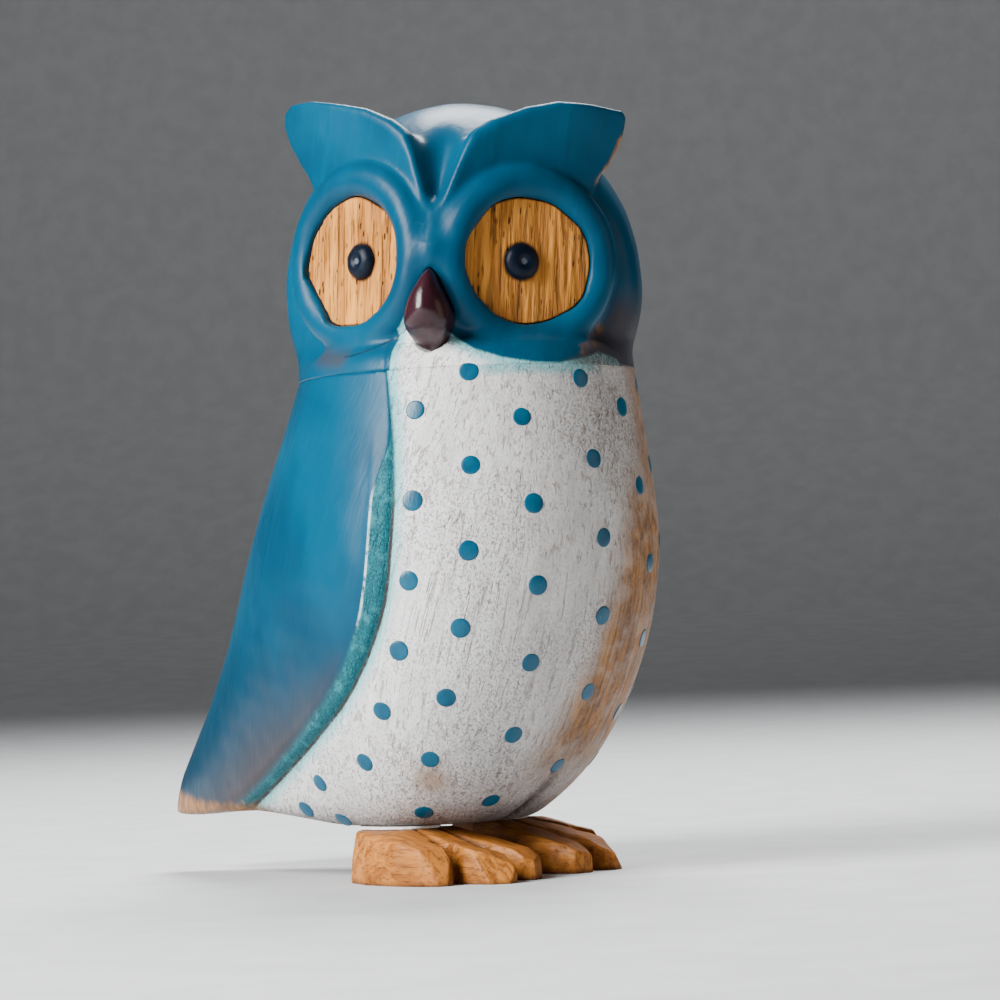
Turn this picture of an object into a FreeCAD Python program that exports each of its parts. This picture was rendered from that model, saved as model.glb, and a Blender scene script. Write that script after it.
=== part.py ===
"""Carved wooden owl figurine that stands on two separate three-toed feet.

The figure is built about its own neck axis, with the chest facing -Y, the tail
towards +Y and the owl's left side at +X. The head is turned towards the owl's right.
Every solid is then moved along Y so that the origin lies under the middle of the
figure's overall box, on the plane that the soles rest on. Lengths are millimetres.
"""

import FreeCAD, Part

import math
import os
from collections import namedtuple

Vector = FreeCAD.Vector
Rotation = FreeCAD.Rotation
Placement = FreeCAD.Placement

# ---------------------------------------------------------------- driving dimensions
# Feet and the pads of glue that bed the body on them.
FOOT_HEIGHT = 10.0
FOOT_LENGTH = 37.0           # from the heel to the tip of the middle toe
FOOT_WIDTH = 23.0            # across the toes
FOOT_SPREAD = 14.0           # from the middle plane to the dowel of each foot
FOOT_BACK = 8.0              # from the neck axis back to the dowel of each foot
HEEL_REACH = 9.5             # from the dowel back to the heel's end
HEEL_HEIGHT = 6.0
TOE_TIP_HEIGHT = 5.8
TOE_END_LEAN = 2.6           # how far the top edge of a toe's end lies behind its foot
PAD_THICKNESS = 0.6
PAD_LENGTH = 17.0
PAD_WIDTH = 12.0

# Body, from the plane it is bedded on up to the neck.
BODY_HEIGHT = 86.2
TAIL_REACH = 80.0            # from the neck axis back to the tip of the tail
TAIL_LIFT = 1.2              # how far the tail's underside rises towards its tip
BELLY_WIDTH = 73.0
BELLY_DEPTH = 36.0           # from the neck axis forward to the fullest point of the belly
NECK_WIDTH = 62.6
NECK_DEPTH = 33.6
WING_RELIEF = 1.4            # how far the wings and the tail stand out from the belly
LEG_NOTCH_HEIGHT = 8.5       # the notch between the legs, above the body's base
LEG_NOTCH_WIDTH = 7.0
LEG_NOTCH_DEPTH = 6.0

# Head.
HEAD_HEIGHT = 53.2
HEAD_WIDTH = 70.0
HEAD_DEPTH = 64.0
HEAD_YAW = -63.5             # degrees, from the chest towards the owl's right
HEAD_TILT = 3.5              # degrees that the face leans down to the owl's left
SKULL_CENTRE_UP = 17.2       # from the neck joint up to the widest level of the skull
EYE_SPREAD = 16.6            # from the middle plane of the face to the eye's centre
EYE_FORWARD = 20.4           # from the neck axis to the eye's centre
EYE_UP = 20.5                # from the neck joint to the eye's centre
EYE_SPLAY = 34.0             # degrees that each eye looks away from the middle plane
EYE_DISC_RADIUS = 12.3
EYE_DISC_THICKNESS = 3.0
RING_TUBE_RADIUS = 3.4
RING_WALL = 2.5              # from the eye pocket's wall to the crest of the ring
RING_SINK = 1.2              # how far the ring's own centre lies under the disc's face
PUPIL_HEAD_RADIUS = 3.4
PUPIL_HEAD_HEIGHT = 1.8
PUPIL_SHANK_RADIUS = 1.5
PUPIL_SHANK_LENGTH = 7.0
PUPIL_INWARD = {"right": 0.5, "left": 1.7}   # from the disc's centre towards the beak
BROW_HEIGHT = 30.0           # from the eye's centre up to the top edge of the brow
BROW_REACH = 21.0            # from the eye's centre out to the tip of the ear tuft
BROW_FACE_BACK = 1.4         # how far the brow's face lies behind the disc's face
BROW_EDGE_THICKNESS = 2.4
BROW_ROOT_THICKNESS = 8.0

# Beak.
BEAK_LENGTH = 16.0
BEAK_WIDTH = 9.0
BEAK_DEPTH = 9.0             # from its flat back to its ridge
BEAK_SEAT_FORWARD = 28.0     # from the neck axis to the beak's flat back
BEAK_CLEAR_OF_JOINT = 3.6    # from the neck joint to the lower tip

# Dowels and glue clearances.
NECK_DOWEL_RADIUS = 4.0
NECK_DOWEL_LENGTH = 28.0
FOOT_DOWEL_RADIUS = 2.5
FOOT_DOWEL_LENGTH = 19.0
FOOT_DOWEL_IN_FOOT = 7.0
BEAK_PIN_RADIUS = 1.25
BEAK_PIN_LENGTH = 11.0
BEAK_PIN_IN_BEAK = 4.5
GLUE_GAP = 0.1               # radial gap round a glued pin, disc or tenon
HOLE_END_GAP = 0.5           # spare depth at the blind end of a drilled hole

# ---------------------------------------------------------------- derived heights
BODY_BASE_Z = FOOT_HEIGHT + PAD_THICKNESS
NECK_Z = BODY_BASE_Z + BODY_HEIGHT
EYE_Z = NECK_Z + EYE_UP
SKULL_CENTRE_Z = NECK_Z + SKULL_CENTRE_UP
EYE_POCKET_RADIUS = EYE_DISC_RADIUS + GLUE_GAP
RING_RADIUS = EYE_POCKET_RADIUS + RING_WALL
ORIGIN_SHIFT = Vector(0, -(TAIL_REACH - BELLY_DEPTH) / 2, 0)
FAR = 200.0                  # longer than the figure, for cutting tools

SIDES = {"right": -1, "left": 1}

# One level of the body. up is a share of the body's height; half_width, front, back and
# relief are shares of the driving sizes; middle is where the widest point lies behind the
# neck axis, as a share of the belly's depth; roundness is the exponent of the rear
# outline, 2 for an ellipse and less for a keel.
Station = namedtuple("Station", "up half_width front back middle roundness relief")
STATIONS = (
    Station(0.00, 0.53, 0.17, 1.000, 0.22, 1.50, 1.0),
    Station(0.062, 0.66, 0.38, 0.985, 0.15, 1.50, 1.0),
    Station(0.155, 0.79, 0.60, 0.930, 0.08, 1.50, 1.0),
    Station(0.29, 0.92, 0.79, 0.835, 0.03, 1.50, 1.0),
    Station(0.456, 0.985, 0.94, 0.735, 0.0, 1.54, 1.0),
    Station(0.643, 1.00, 1.00, 0.635, 0.0, 1.62, 0.85),
    Station(0.85, 0.93, 0.965, 0.510, 0.0, 1.80, 0.50),
    Station(1.00, NECK_WIDTH / BELLY_WIDTH, NECK_DEPTH / BELLY_DEPTH, 0.420, 0.0, 2.0, 0.20),
)
OUTLINE_POINTS = 16          # points on each half of a level's outline


def vertical_cylinder(radius, low, high, x=0.0, y=0.0):
    """Cylinder round a vertical axis, between two heights."""
    return Part.makeCylinder(radius, high - low, Vector(x, y, low))


def tetrahedron(*corners):
    """Solid with four corners, used to cut a V that narrows and fades out."""
    faces = []
    for skipped in range(4):
        three = [corner for i, corner in enumerate(corners) if i != skipped]
        faces.append(Part.Face(Part.makePolygon([*three, three[0]])))
    solid = Part.makeSolid(Part.makeShell(faces))
    if solid.Volume < 0:
        solid.reverse()
    return solid


def body_levels(relief):
    """Height, half width, front, back, middle and roundness of each level."""
    rows = []
    for station in STATIONS:
        grown = relief * station.relief
        rows.append((
            BODY_BASE_Z + BODY_HEIGHT * station.up,
            BELLY_WIDTH / 2 * station.half_width + grown,
            BELLY_DEPTH * station.front + grown,
            (TAIL_REACH - WING_RELIEF) * station.back + grown,
            BELLY_DEPTH * station.middle,
            station.roundness,
        ))
    return rows


def level_outline(height, half_width, front, back, middle, roundness):
    """Closed outline: half an ellipse in front, a keeled superellipse behind."""
    points = []
    for i in range(2 * OUTLINE_POINTS):
        angle = math.pi * i / OUTLINE_POINTS
        across, along = math.cos(angle), math.sin(angle)
        power = 2.0 / (roundness if along > 0 else 2.0)
        reach = back - middle if along > 0 else front + middle
        x = half_width * math.copysign(abs(across) ** power, across)
        y = middle + reach * math.copysign(abs(along) ** power, along)
        points.append(Vector(x, y, height))
    even = [float(i) for i in range(len(points) + 1)]
    curve = Part.BSplineCurve()
    curve.interpolate(Points=points, PeriodicFlag=True, Parameters=even)
    return Part.Wire([curve.toShape()])


def body_loft(relief):
    """Solid through every level, grown outwards by relief."""
    wires = [level_outline(*row) for row in body_levels(relief)]
    return Part.makeLoft(wires, True, False)


def wing_region():
    """Everything behind the wings' front edges, as a block through the whole width."""
    edge_points = [
        Vector(0, TAIL_REACH * 0.62, BODY_BASE_Z - 1.0),
        Vector(0, TAIL_REACH * 0.40, BODY_BASE_Z + BODY_HEIGHT * 0.10),
        Vector(0, TAIL_REACH * 0.15, BODY_BASE_Z + BODY_HEIGHT * 0.22),
        Vector(0, -TAIL_REACH * 0.05, BODY_BASE_Z + BODY_HEIGHT * 0.41),
        Vector(0, -TAIL_REACH * 0.11, BODY_BASE_Z + BODY_HEIGHT * 0.66),
        Vector(0, -TAIL_REACH * 0.10, NECK_Z + 1.0),
    ]
    edge = Part.BSplineCurve()
    edge.interpolate(Points=edge_points)
    first, last = edge_points[0], edge_points[-1]
    far_low = Vector(0, FAR, first.z)
    far_high = Vector(0, FAR, last.z)
    outline = Part.Wire([
        edge.toShape(),
        Part.LineSegment(last, far_high).toShape(),
        Part.LineSegment(far_high, far_low).toShape(),
        Part.LineSegment(far_low, first).toShape(),
    ])
    block = Part.Face(outline).extrude(Vector(2 * FAR, 0, 0))
    block.translate(Vector(-FAR, 0, 0))
    return block


def under_tail():
    """Wedge that comes off below the tail, so its underside rises to the tip."""
    start = FOOT_BACK + PAD_LENGTH / 2 + 2.0
    outline = Part.makePolygon([
        Vector(-FAR, start, BODY_BASE_Z),
        Vector(-FAR, TAIL_REACH + 1, BODY_BASE_Z + TAIL_LIFT),
        Vector(-FAR, TAIL_REACH + 1, BODY_BASE_Z - 1),
        Vector(-FAR, start, BODY_BASE_Z - 1),
        Vector(-FAR, start, BODY_BASE_Z),
    ])
    return Part.Face(outline).extrude(Vector(2 * FAR, 0, 0))


def leg_notch():
    """Notch up the middle of the belly's lower front, between the legs."""
    half = LEG_NOTCH_WIDTH / 2
    low_front = -BELLY_DEPTH * STATIONS[0].front
    high_front = -BELLY_DEPTH * (STATIONS[1].front + STATIONS[2].front) / 2
    low, high = BODY_BASE_Z - 1, BODY_BASE_Z + LEG_NOTCH_HEIGHT
    return tetrahedron(
        Vector(0, low_front + LEG_NOTCH_DEPTH, low),
        Vector(half, low_front - 3.0, low),
        Vector(-half, low_front - 3.0, low),
        Vector(0, high_front, high),
    )


def foot_hub(side):
    """Where the dowel of one foot stands."""
    return Vector(side * FOOT_SPREAD, FOOT_BACK, 0)


def dowel_hole(radius, low, high, x=0.0, y=0.0):
    """Drilled hole for a vertical dowel."""
    return vertical_cylinder(radius + GLUE_GAP, low, high, x, y)


def body():
    """The carved body: belly, wings, back and tail from one block."""
    belly = body_loft(0.0)
    coat = body_loft(WING_RELIEF).common(wing_region())
    solid = belly.fuse(coat).cut(under_tail()).cut(leg_notch())
    neck_depth = NECK_DOWEL_LENGTH / 2 + HOLE_END_GAP
    solid = solid.cut(dowel_hole(NECK_DOWEL_RADIUS, NECK_Z - neck_depth, NECK_Z + 1))
    foot_top = FOOT_DOWEL_LENGTH - FOOT_DOWEL_IN_FOOT + FOOT_HEIGHT + HOLE_END_GAP
    for side in SIDES.values():
        hub = foot_hub(side)
        solid = solid.cut(
            dowel_hole(FOOT_DOWEL_RADIUS, BODY_BASE_Z - 1, foot_top, hub.x, hub.y)
        )
    return solid


def head_placement():
    """Leans the head's own frame, whose face looks along -Y, and turns it on the neck."""
    middle = Vector(0, 0, SKULL_CENTRE_Z)
    lean = Placement(Vector(0, 0, 0), Rotation(Vector(0, 1, 0), HEAD_TILT), middle)
    turn = Placement(Vector(0, 0, 0), Rotation(Vector(0, 0, 1), HEAD_YAW))
    return turn.multiply(lean)


def eye_placement(side):
    """Eye frame in the head's own frame: local X outwards, Y up and Z out of the eye."""
    splay = math.radians(EYE_SPLAY)
    outward = Vector(side * math.cos(splay), math.sin(splay), 0)
    normal = Vector(side * math.sin(splay), -math.cos(splay), 0)
    up = Vector(0, 0, 1)
    centre = Vector(side * EYE_SPREAD, -EYE_FORWARD, EYE_Z)
    local_x = outward * side
    turn = FreeCAD.Matrix(
        local_x.x, up.x, normal.x, centre.x,
        local_x.y, up.y, normal.y, centre.y,
        local_x.z, up.z, normal.z, centre.z,
        0, 0, 0, 1,
    )
    return Placement(turn)


def in_eye_frame(shape, side):
    """Moves a shape from the eye frame into the head's own frame."""
    shape.Placement = eye_placement(side).multiply(shape.Placement)
    return shape


def skull():
    """Egg-shaped skull cut flat under each eye and at the neck joint."""
    ball = Part.makeSphere(1.0)
    stretch = FreeCAD.Matrix()
    stretch.scale(Vector(HEAD_WIDTH / 2, HEAD_DEPTH / 2, HEAD_HEIGHT - SKULL_CENTRE_UP))
    egg = ball.transformGeometry(stretch)
    egg.translate(Vector(0, 0, SKULL_CENTRE_Z))
    for side in SIDES.values():
        front = Part.makeBox(FAR, FAR, FAR, Vector(-FAR / 2, -FAR / 2, -RING_SINK))
        egg = egg.cut(in_eye_frame(front, side))
    return egg


def brow(side):
    """Brow that rises from the bridge over the eye and runs out into the ear tuft."""
    ring_outer = RING_RADIUS + RING_TUBE_RADIUS
    bridge = Vector(-ring_outer * 1.00, 2.0, 0)
    tip = Vector(BROW_REACH, BROW_HEIGHT - 0.6, 0)
    corner = Vector(BROW_REACH * 0.76, BROW_HEIGHT * 0.56, 0)
    top = Part.BSplineCurve()
    top.interpolate(Points=[
        bridge,
        Vector(-ring_outer * 0.80, BROW_HEIGHT * 0.62, 0),
        Vector(-ring_outer * 0.40, BROW_HEIGHT * 0.91, 0),
        Vector(BROW_REACH * 0.28, BROW_HEIGHT, 0),
        tip,
    ])
    outer = Part.Arc(tip, Vector(BROW_REACH * 0.97, BROW_HEIGHT * 0.79, 0), corner)
    outline = Part.Wire([
        top.toShape(),
        outer.toShape(),
        Part.LineSegment(corner, Vector(0, 0, 0)).toShape(),
        Part.LineSegment(Vector(0, 0, 0), bridge).toShape(),
    ])
    if side < 0:
        flip = FreeCAD.Matrix()
        flip.scale(Vector(-1, 1, 1))
        outline = outline.transformGeometry(flip)
    blade = Part.Face(outline).extrude(Vector(0, 0, -BROW_ROOT_THICKNESS))
    blade.translate(Vector(0, 0, -BROW_FACE_BACK))
    root_back = -BROW_FACE_BACK - BROW_ROOT_THICKNESS
    taper = Part.makePolygon([
        Vector(-FAR / 2, -1, -BROW_FACE_BACK),
        Vector(-FAR / 2, BROW_HEIGHT + 1, -BROW_FACE_BACK),
        Vector(-FAR / 2, BROW_HEIGHT + 1, -BROW_FACE_BACK - BROW_EDGE_THICKNESS),
        Vector(-FAR / 2, BROW_HEIGHT * 0.35, root_back),
        Vector(-FAR / 2, -1, root_back),
        Vector(-FAR / 2, -1, -BROW_FACE_BACK),
    ])
    wedge = Part.Face(taper).extrude(Vector(FAR, 0, 0))
    return in_eye_frame(blade.common(wedge), side)


def eye_ring(side):
    """Raised ring round the eye, with the boss that backs it."""
    tube = Part.makeTorus(RING_RADIUS, RING_TUBE_RADIUS, Vector(0, 0, -RING_SINK))
    boss = Part.makeCylinder(
        RING_RADIUS, EYE_DISC_THICKNESS * 2, Vector(0, 0, -EYE_DISC_THICKNESS * 2)
    )
    return in_eye_frame(tube.fuse(boss), side)


def on_pupil_axis(shape, side):
    """Moves a shape from the middle of the disc to where the pupil is set in it."""
    name = "left" if side > 0 else "right"
    shape.translate(Vector(-side * PUPIL_INWARD[name], 0, 0))
    return shape


def eye_pocket(side):
    """Round pocket for the eye disc, and the hole for the pupil's shank behind it."""
    pocket = Part.makeCylinder(
        EYE_POCKET_RADIUS, EYE_DISC_THICKNESS + 2 * RING_TUBE_RADIUS,
        Vector(0, 0, -EYE_DISC_THICKNESS),
    )
    shank_end = PUPIL_SHANK_LENGTH + HOLE_END_GAP
    hole = Part.makeCylinder(
        PUPIL_SHANK_RADIUS + GLUE_GAP, shank_end, Vector(0, 0, -shank_end)
    )
    return in_eye_frame(pocket.fuse(on_pupil_axis(hole, side)), side)


def beak_outline(grow):
    """Leaf outline of the beak in the plane of its back, grown by a clearance."""
    half = BEAK_WIDTH / 2 + grow
    low_z = NECK_Z + BEAK_CLEAR_OF_JOINT
    top_z = low_z + BEAK_LENGTH
    low = Vector(0, -BEAK_SEAT_FORWARD, low_z - grow)
    top = Vector(0, -BEAK_SEAT_FORWARD, top_z + grow)
    edges = []
    for start, end, side in ((low, top, 1), (top, low, -1)):
        wide = Vector(side * half, -BEAK_SEAT_FORWARD, low_z + BEAK_LENGTH * 0.34)
        high = Vector(side * half * 0.66, -BEAK_SEAT_FORWARD, low_z + BEAK_LENGTH * 0.68)
        through = [wide, high] if side > 0 else [high, wide]
        curve = Part.BSplineCurve()
        curve.interpolate(Points=[start, *through, end])
        edges.append(curve.toShape())
    return Part.Wire(edges)


def beak_pin_height():
    """Height of the beak's pin."""
    return NECK_Z + BEAK_CLEAR_OF_JOINT + BEAK_LENGTH * 0.45


def beak_pin_cylinder(radius, length_in_beak, length_in_head):
    """Cylinder on the pin's axis, which runs from the head out into the beak."""
    return Part.makeCylinder(
        radius, length_in_beak + length_in_head,
        Vector(0, -BEAK_SEAT_FORWARD - length_in_beak, beak_pin_height()),
        Vector(0, 1, 0),
    )


def bridge():
    """Upright bar between the eyes that the beak is seated on."""
    width = BEAK_WIDTH + 2.0
    top_z = EYE_Z + EYE_DISC_RADIUS * 0.6
    corner = Vector(-width / 2, -BEAK_SEAT_FORWARD, NECK_Z - FOOT_HEIGHT)
    return Part.makeBox(width, BEAK_SEAT_FORWARD, top_z - corner.z, corner)


def head():
    """The carved head: skull, bridge, brows with ear tufts, eye rings and their pockets."""
    solid = skull().fuse(bridge())
    for side in SIDES.values():
        solid = solid.fuse(eye_ring(side))
        solid = solid.fuse(brow(side))
    for side in SIDES.values():
        solid = solid.cut(eye_pocket(side))
    seat = Part.Face(beak_outline(GLUE_GAP)).extrude(Vector(0, -FAR, 0))
    solid = solid.cut(seat)
    solid = solid.cut(beak_pin_cylinder(
        BEAK_PIN_RADIUS + GLUE_GAP, 0.0, BEAK_PIN_LENGTH - BEAK_PIN_IN_BEAK + HOLE_END_GAP
    ))
    solid.Placement = head_placement().multiply(solid.Placement)
    solid = solid.cut(Part.makeBox(FAR, FAR, FAR, Vector(-FAR / 2, -FAR / 2, NECK_Z - FAR)))
    dowel_top = NECK_Z + NECK_DOWEL_LENGTH / 2 + HOLE_END_GAP
    solid = solid.cut(dowel_hole(NECK_DOWEL_RADIUS, NECK_Z - 1, dowel_top))
    return solid.removeSplitter()


def neck_dowel():
    """Dowel that carries the head on the body."""
    half = NECK_DOWEL_LENGTH / 2
    return vertical_cylinder(NECK_DOWEL_RADIUS, NECK_Z - half, NECK_Z + half)


def beak():
    """Hardwood beak: leaf-shaped in front view, ridged, and flat on its back."""
    block = Part.Face(beak_outline(0.0)).extrude(Vector(0, -BEAK_DEPTH, 0))
    low_z = NECK_Z + BEAK_CLEAR_OF_JOINT
    crest = Part.makeSphere(1.0)
    stretch = FreeCAD.Matrix()
    stretch.scale(Vector(BEAK_WIDTH * 0.60, BEAK_DEPTH, BEAK_LENGTH * 0.62))
    crest = crest.transformGeometry(stretch)
    crest.translate(Vector(0, -BEAK_SEAT_FORWARD, low_z + BEAK_LENGTH * 0.42))
    solid = block.common(crest)
    solid = solid.cut(beak_pin_cylinder(
        BEAK_PIN_RADIUS + GLUE_GAP, BEAK_PIN_IN_BEAK + HOLE_END_GAP, 0.0
    ))
    solid.Placement = head_placement()
    return solid


def beak_pin():
    """Bamboo pin between the beak and the head."""
    pin = beak_pin_cylinder(
        BEAK_PIN_RADIUS, BEAK_PIN_IN_BEAK, BEAK_PIN_LENGTH - BEAK_PIN_IN_BEAK
    )
    pin.Placement = head_placement().multiply(pin.Placement)
    return pin


def eye_disc(side):
    """Flat disc of coarse wood glued in the eye pocket, drilled for the pupil."""
    disc = Part.makeCylinder(
        EYE_DISC_RADIUS, EYE_DISC_THICKNESS, Vector(0, 0, -EYE_DISC_THICKNESS)
    )
    hole = Part.makeCylinder(
        PUPIL_SHANK_RADIUS + GLUE_GAP, EYE_DISC_THICKNESS + 2,
        Vector(0, 0, -EYE_DISC_THICKNESS - 1),
    )
    disc = in_eye_frame(disc.cut(on_pupil_axis(hole, side)), side)
    disc.Placement = head_placement().multiply(disc.Placement)
    return disc


def pupil(side):
    """Domed peg: the head lies on the disc and the shank runs through it."""
    shank = Part.makeCylinder(
        PUPIL_SHANK_RADIUS, PUPIL_SHANK_LENGTH, Vector(0, 0, -PUPIL_SHANK_LENGTH)
    )
    dome_radius = (PUPIL_HEAD_RADIUS ** 2 + PUPIL_HEAD_HEIGHT ** 2) / (2 * PUPIL_HEAD_HEIGHT)
    dome = Part.makeSphere(dome_radius, Vector(0, 0, PUPIL_HEAD_HEIGHT - dome_radius))
    above = Part.makeBox(FAR, FAR, FAR, Vector(-FAR / 2, -FAR / 2, 0))
    peg = in_eye_frame(on_pupil_axis(dome.common(above).fuse(shank), side), side)
    peg.Placement = head_placement().multiply(peg.Placement)
    return peg


def foot_outline():
    """Plan of the left foot about its dowel: heel, outer side, then three toes."""
    length, width = FOOT_LENGTH, FOOT_WIDTH
    tip = HEEL_REACH - length
    return (
        Vector(-width * 0.22, HEEL_REACH, 0),
        Vector(width * 0.20, HEEL_REACH, 0),
        Vector(width * 0.44, HEEL_REACH - length * 0.13, 0),
        Vector(width * 0.57, HEEL_REACH - length * 0.45, 0),
        Vector(width * 0.60, tip * 0.55, 0),
        Vector(width * 0.50, tip * 0.67, 0),
        Vector(width * 0.32, tip * 0.50, 0),
        Vector(width * 0.28, tip * 0.93, 0),
        Vector(width * 0.06, tip, 0),
        Vector(-width * 0.05, tip * 0.62, 0),
        Vector(-width * 0.14, tip * 0.98, 0),
        Vector(-width * 0.38, tip * 0.92, 0),
        Vector(-width * 0.40, tip * 0.40, 0),
    )


def toe_groove(notch):
    """Four-cornered cutter that opens a V between two toes and fades out at the instep."""
    along = Vector(notch.x, notch.y, 0)
    front = along * 1.9
    across = Vector(-along.y, along.x, 0).normalize() * FOOT_WIDTH * 0.19
    high = Vector(0, 0, FOOT_HEIGHT + 0.5)
    return tetrahedron(
        front + Vector(0, 0, -FOOT_HEIGHT * 0.8), front + across + high,
        front - across + high, along * 0.28 + high,
    )


def foot_side_view():
    """Outline of the foot seen from its side, as a block through its whole width."""
    tip = HEEL_REACH - FOOT_LENGTH
    profile = Part.makePolygon([
        Vector(-FAR, HEEL_REACH, 0),
        Vector(-FAR, HEEL_REACH, HEEL_HEIGHT),
        Vector(-FAR, HEEL_REACH - 4.0, FOOT_HEIGHT),
        Vector(-FAR, tip * 0.36, FOOT_HEIGHT),
        Vector(-FAR, tip + TOE_END_LEAN, TOE_TIP_HEIGHT),
        Vector(-FAR, tip, 1.0),
        Vector(-FAR, tip + 0.6, 0),
        Vector(-FAR, HEEL_REACH, 0),
    ])
    return Part.Face(profile).extrude(Vector(2 * FAR, 0, 0))


def foot(side):
    """Carved foot: a flat-topped instep, a blunt heel and three toes cut apart by grooves."""
    outline = foot_outline()
    plan = Part.makePolygon([*outline, outline[0]])
    solid = Part.Face(plan).extrude(Vector(0, 0, FOOT_HEIGHT)).common(foot_side_view())
    for notch in (outline[6], outline[9]):
        solid = solid.cut(toe_groove(notch))
    if side < 0:
        solid = solid.mirror(Vector(0, 0, 0), Vector(1, 0, 0))
    hub = foot_hub(side)
    solid.translate(hub)
    depth = FOOT_DOWEL_IN_FOOT + HOLE_END_GAP
    hole = dowel_hole(FOOT_DOWEL_RADIUS, FOOT_HEIGHT - depth, FOOT_HEIGHT + 1, hub.x, hub.y)
    return solid.cut(hole).removeSplitter()


def foot_dowel(side):
    """Dowel that joins one foot to the body."""
    hub = foot_hub(side)
    low = FOOT_HEIGHT - FOOT_DOWEL_IN_FOOT
    return vertical_cylinder(FOOT_DOWEL_RADIUS, low, low + FOOT_DOWEL_LENGTH, hub.x, hub.y)


def glue_pad(side):
    """Oval bed of filled glue between one foot and the underside of the body."""
    hub = foot_hub(side)
    oval = Part.Ellipse(Vector(0, 0, 0), PAD_LENGTH / 2, PAD_WIDTH / 2).toShape()
    oval.rotate(Vector(0, 0, 0), Vector(0, 0, 1), 90)
    oval.translate(Vector(hub.x, hub.y, FOOT_HEIGHT))
    pad = Part.Face(Part.Wire([oval])).extrude(Vector(0, 0, PAD_THICKNESS))
    hole = dowel_hole(FOOT_DOWEL_RADIUS, FOOT_HEIGHT - 1, BODY_BASE_Z + 1, hub.x, hub.y)
    return pad.cut(hole)


def all_nodes():
    """Every separate piece of the figure, by its node's name."""
    nodes = {
        "body": body(),
        "head": head(),
        "neck_dowel": neck_dowel(),
        "beak": beak(),
        "beak_pin": beak_pin(),
    }
    for name, side in SIDES.items():
        nodes[f"eye_disc_{name}"] = eye_disc(side)
        nodes[f"pupil_{name}"] = pupil(side)
        nodes[f"foot_{name}"] = foot(side)
        nodes[f"foot_dowel_{name}"] = foot_dowel(side)
        nodes[f"glue_pad_{name}"] = glue_pad(side)
    return nodes


def main():
    """Builds every piece in the row frame and writes one STEP file for each."""
    os.makedirs("parts", exist_ok=True)
    for name, shape in all_nodes().items():
        moved = shape.copy()
        moved.translate(ORIGIN_SHIFT)
        if len(moved.Solids) != 1 or not moved.isValid():
            raise ValueError(f"{name} isn't one valid solid")
        moved.Solids[0].exportStep(f"parts/{name}.step")


main()
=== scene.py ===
"""Looks of a carved and painted wooden owl that stands on two three-toed feet.

Shapes are carved as signed distance fields in millimetres about the figure's neck axis,
skinned with quads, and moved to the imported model's frame in metres.
"""

import logging
import math
from dataclasses import dataclass, field
from enum import Enum
from typing import Callable

import bpy
import numpy as np
from mathutils import Matrix, Vector


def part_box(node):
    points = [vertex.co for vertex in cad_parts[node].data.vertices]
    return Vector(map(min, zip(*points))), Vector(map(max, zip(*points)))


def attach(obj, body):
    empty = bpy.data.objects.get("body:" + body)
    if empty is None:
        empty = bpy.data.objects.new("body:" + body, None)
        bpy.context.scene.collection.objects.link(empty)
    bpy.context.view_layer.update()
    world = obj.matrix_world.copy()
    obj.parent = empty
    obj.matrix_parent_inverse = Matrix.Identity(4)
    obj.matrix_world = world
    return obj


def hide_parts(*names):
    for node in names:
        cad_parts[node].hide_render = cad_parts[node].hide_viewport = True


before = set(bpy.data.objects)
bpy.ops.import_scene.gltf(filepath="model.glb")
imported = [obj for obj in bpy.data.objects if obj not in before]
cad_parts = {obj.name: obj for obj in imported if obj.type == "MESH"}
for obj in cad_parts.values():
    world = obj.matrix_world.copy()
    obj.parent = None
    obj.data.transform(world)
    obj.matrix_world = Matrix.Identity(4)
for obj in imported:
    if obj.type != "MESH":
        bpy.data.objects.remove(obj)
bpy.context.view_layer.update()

log = logging.getLogger("owl")
Array = np.ndarray
Triple = tuple[float, float, float]
Outline = tuple[tuple[float, float], ...]
Field = Callable[[Array], Array]
MM = 0.001
NECK_HOLE_RADIUS, NECK_HOLE_DEPTH = 4.1, 14.5
FOOT_HOLE_RADIUS = 2.6


class Side(Enum):
    """The owl's own right and left, with the sign of X on each."""

    RIGHT = -1
    LEFT = 1

    @property
    def label(self) -> str:
        """Name used in node names."""
        return self.name.lower()


# ------------------------------------------------------------------ sizes of the frame
def node_box(name: str) -> Array:
    """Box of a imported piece.

    Args:
        name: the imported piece's name.

    Returns:
        Two rows, the lowest and highest corner, in millimetres of the row frame.
    """
    return np.array([list(corner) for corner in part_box(name)]) / MM


@dataclass(frozen=True)
class Figure:
    """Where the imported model's main pieces are, in millimetres about the neck axis."""

    axis: Array
    base: float
    neck: float
    crown: float
    half_width: float
    front: float
    tail: float
    eyes: dict[Side, Array]
    hubs: dict[Side, Array]

    @staticmethod
    def measured() -> "Figure":
        """Reads the sizes from the frame."""
        dowel = node_box("neck_dowel")
        axis = np.array([dowel[:, 0].mean(), dowel[:, 1].mean(), 0.0])
        body, head = node_box("body") - axis, node_box("head") - axis
        eyes, hubs = {}, {}
        for side in Side:
            eyes[side] = (node_box(f"eye_disc_{side.label}") - axis).mean(0)
            hubs[side] = (node_box(f"foot_dowel_{side.label}") - axis).mean(0)
            hubs[side][2] = 0.0
        return Figure(
            axis=axis, base=body[0, 2], neck=body[1, 2], crown=head[1, 2],
            half_width=body[1, 0], front=-body[0, 1], tail=body[1, 1],
            eyes=eyes, hubs=hubs,
        )

    def placed(self, points: Array) -> Array:
        """Points in metres of the row frame, from millimetres about the neck axis."""
        return (points + self.axis) * MM


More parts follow.
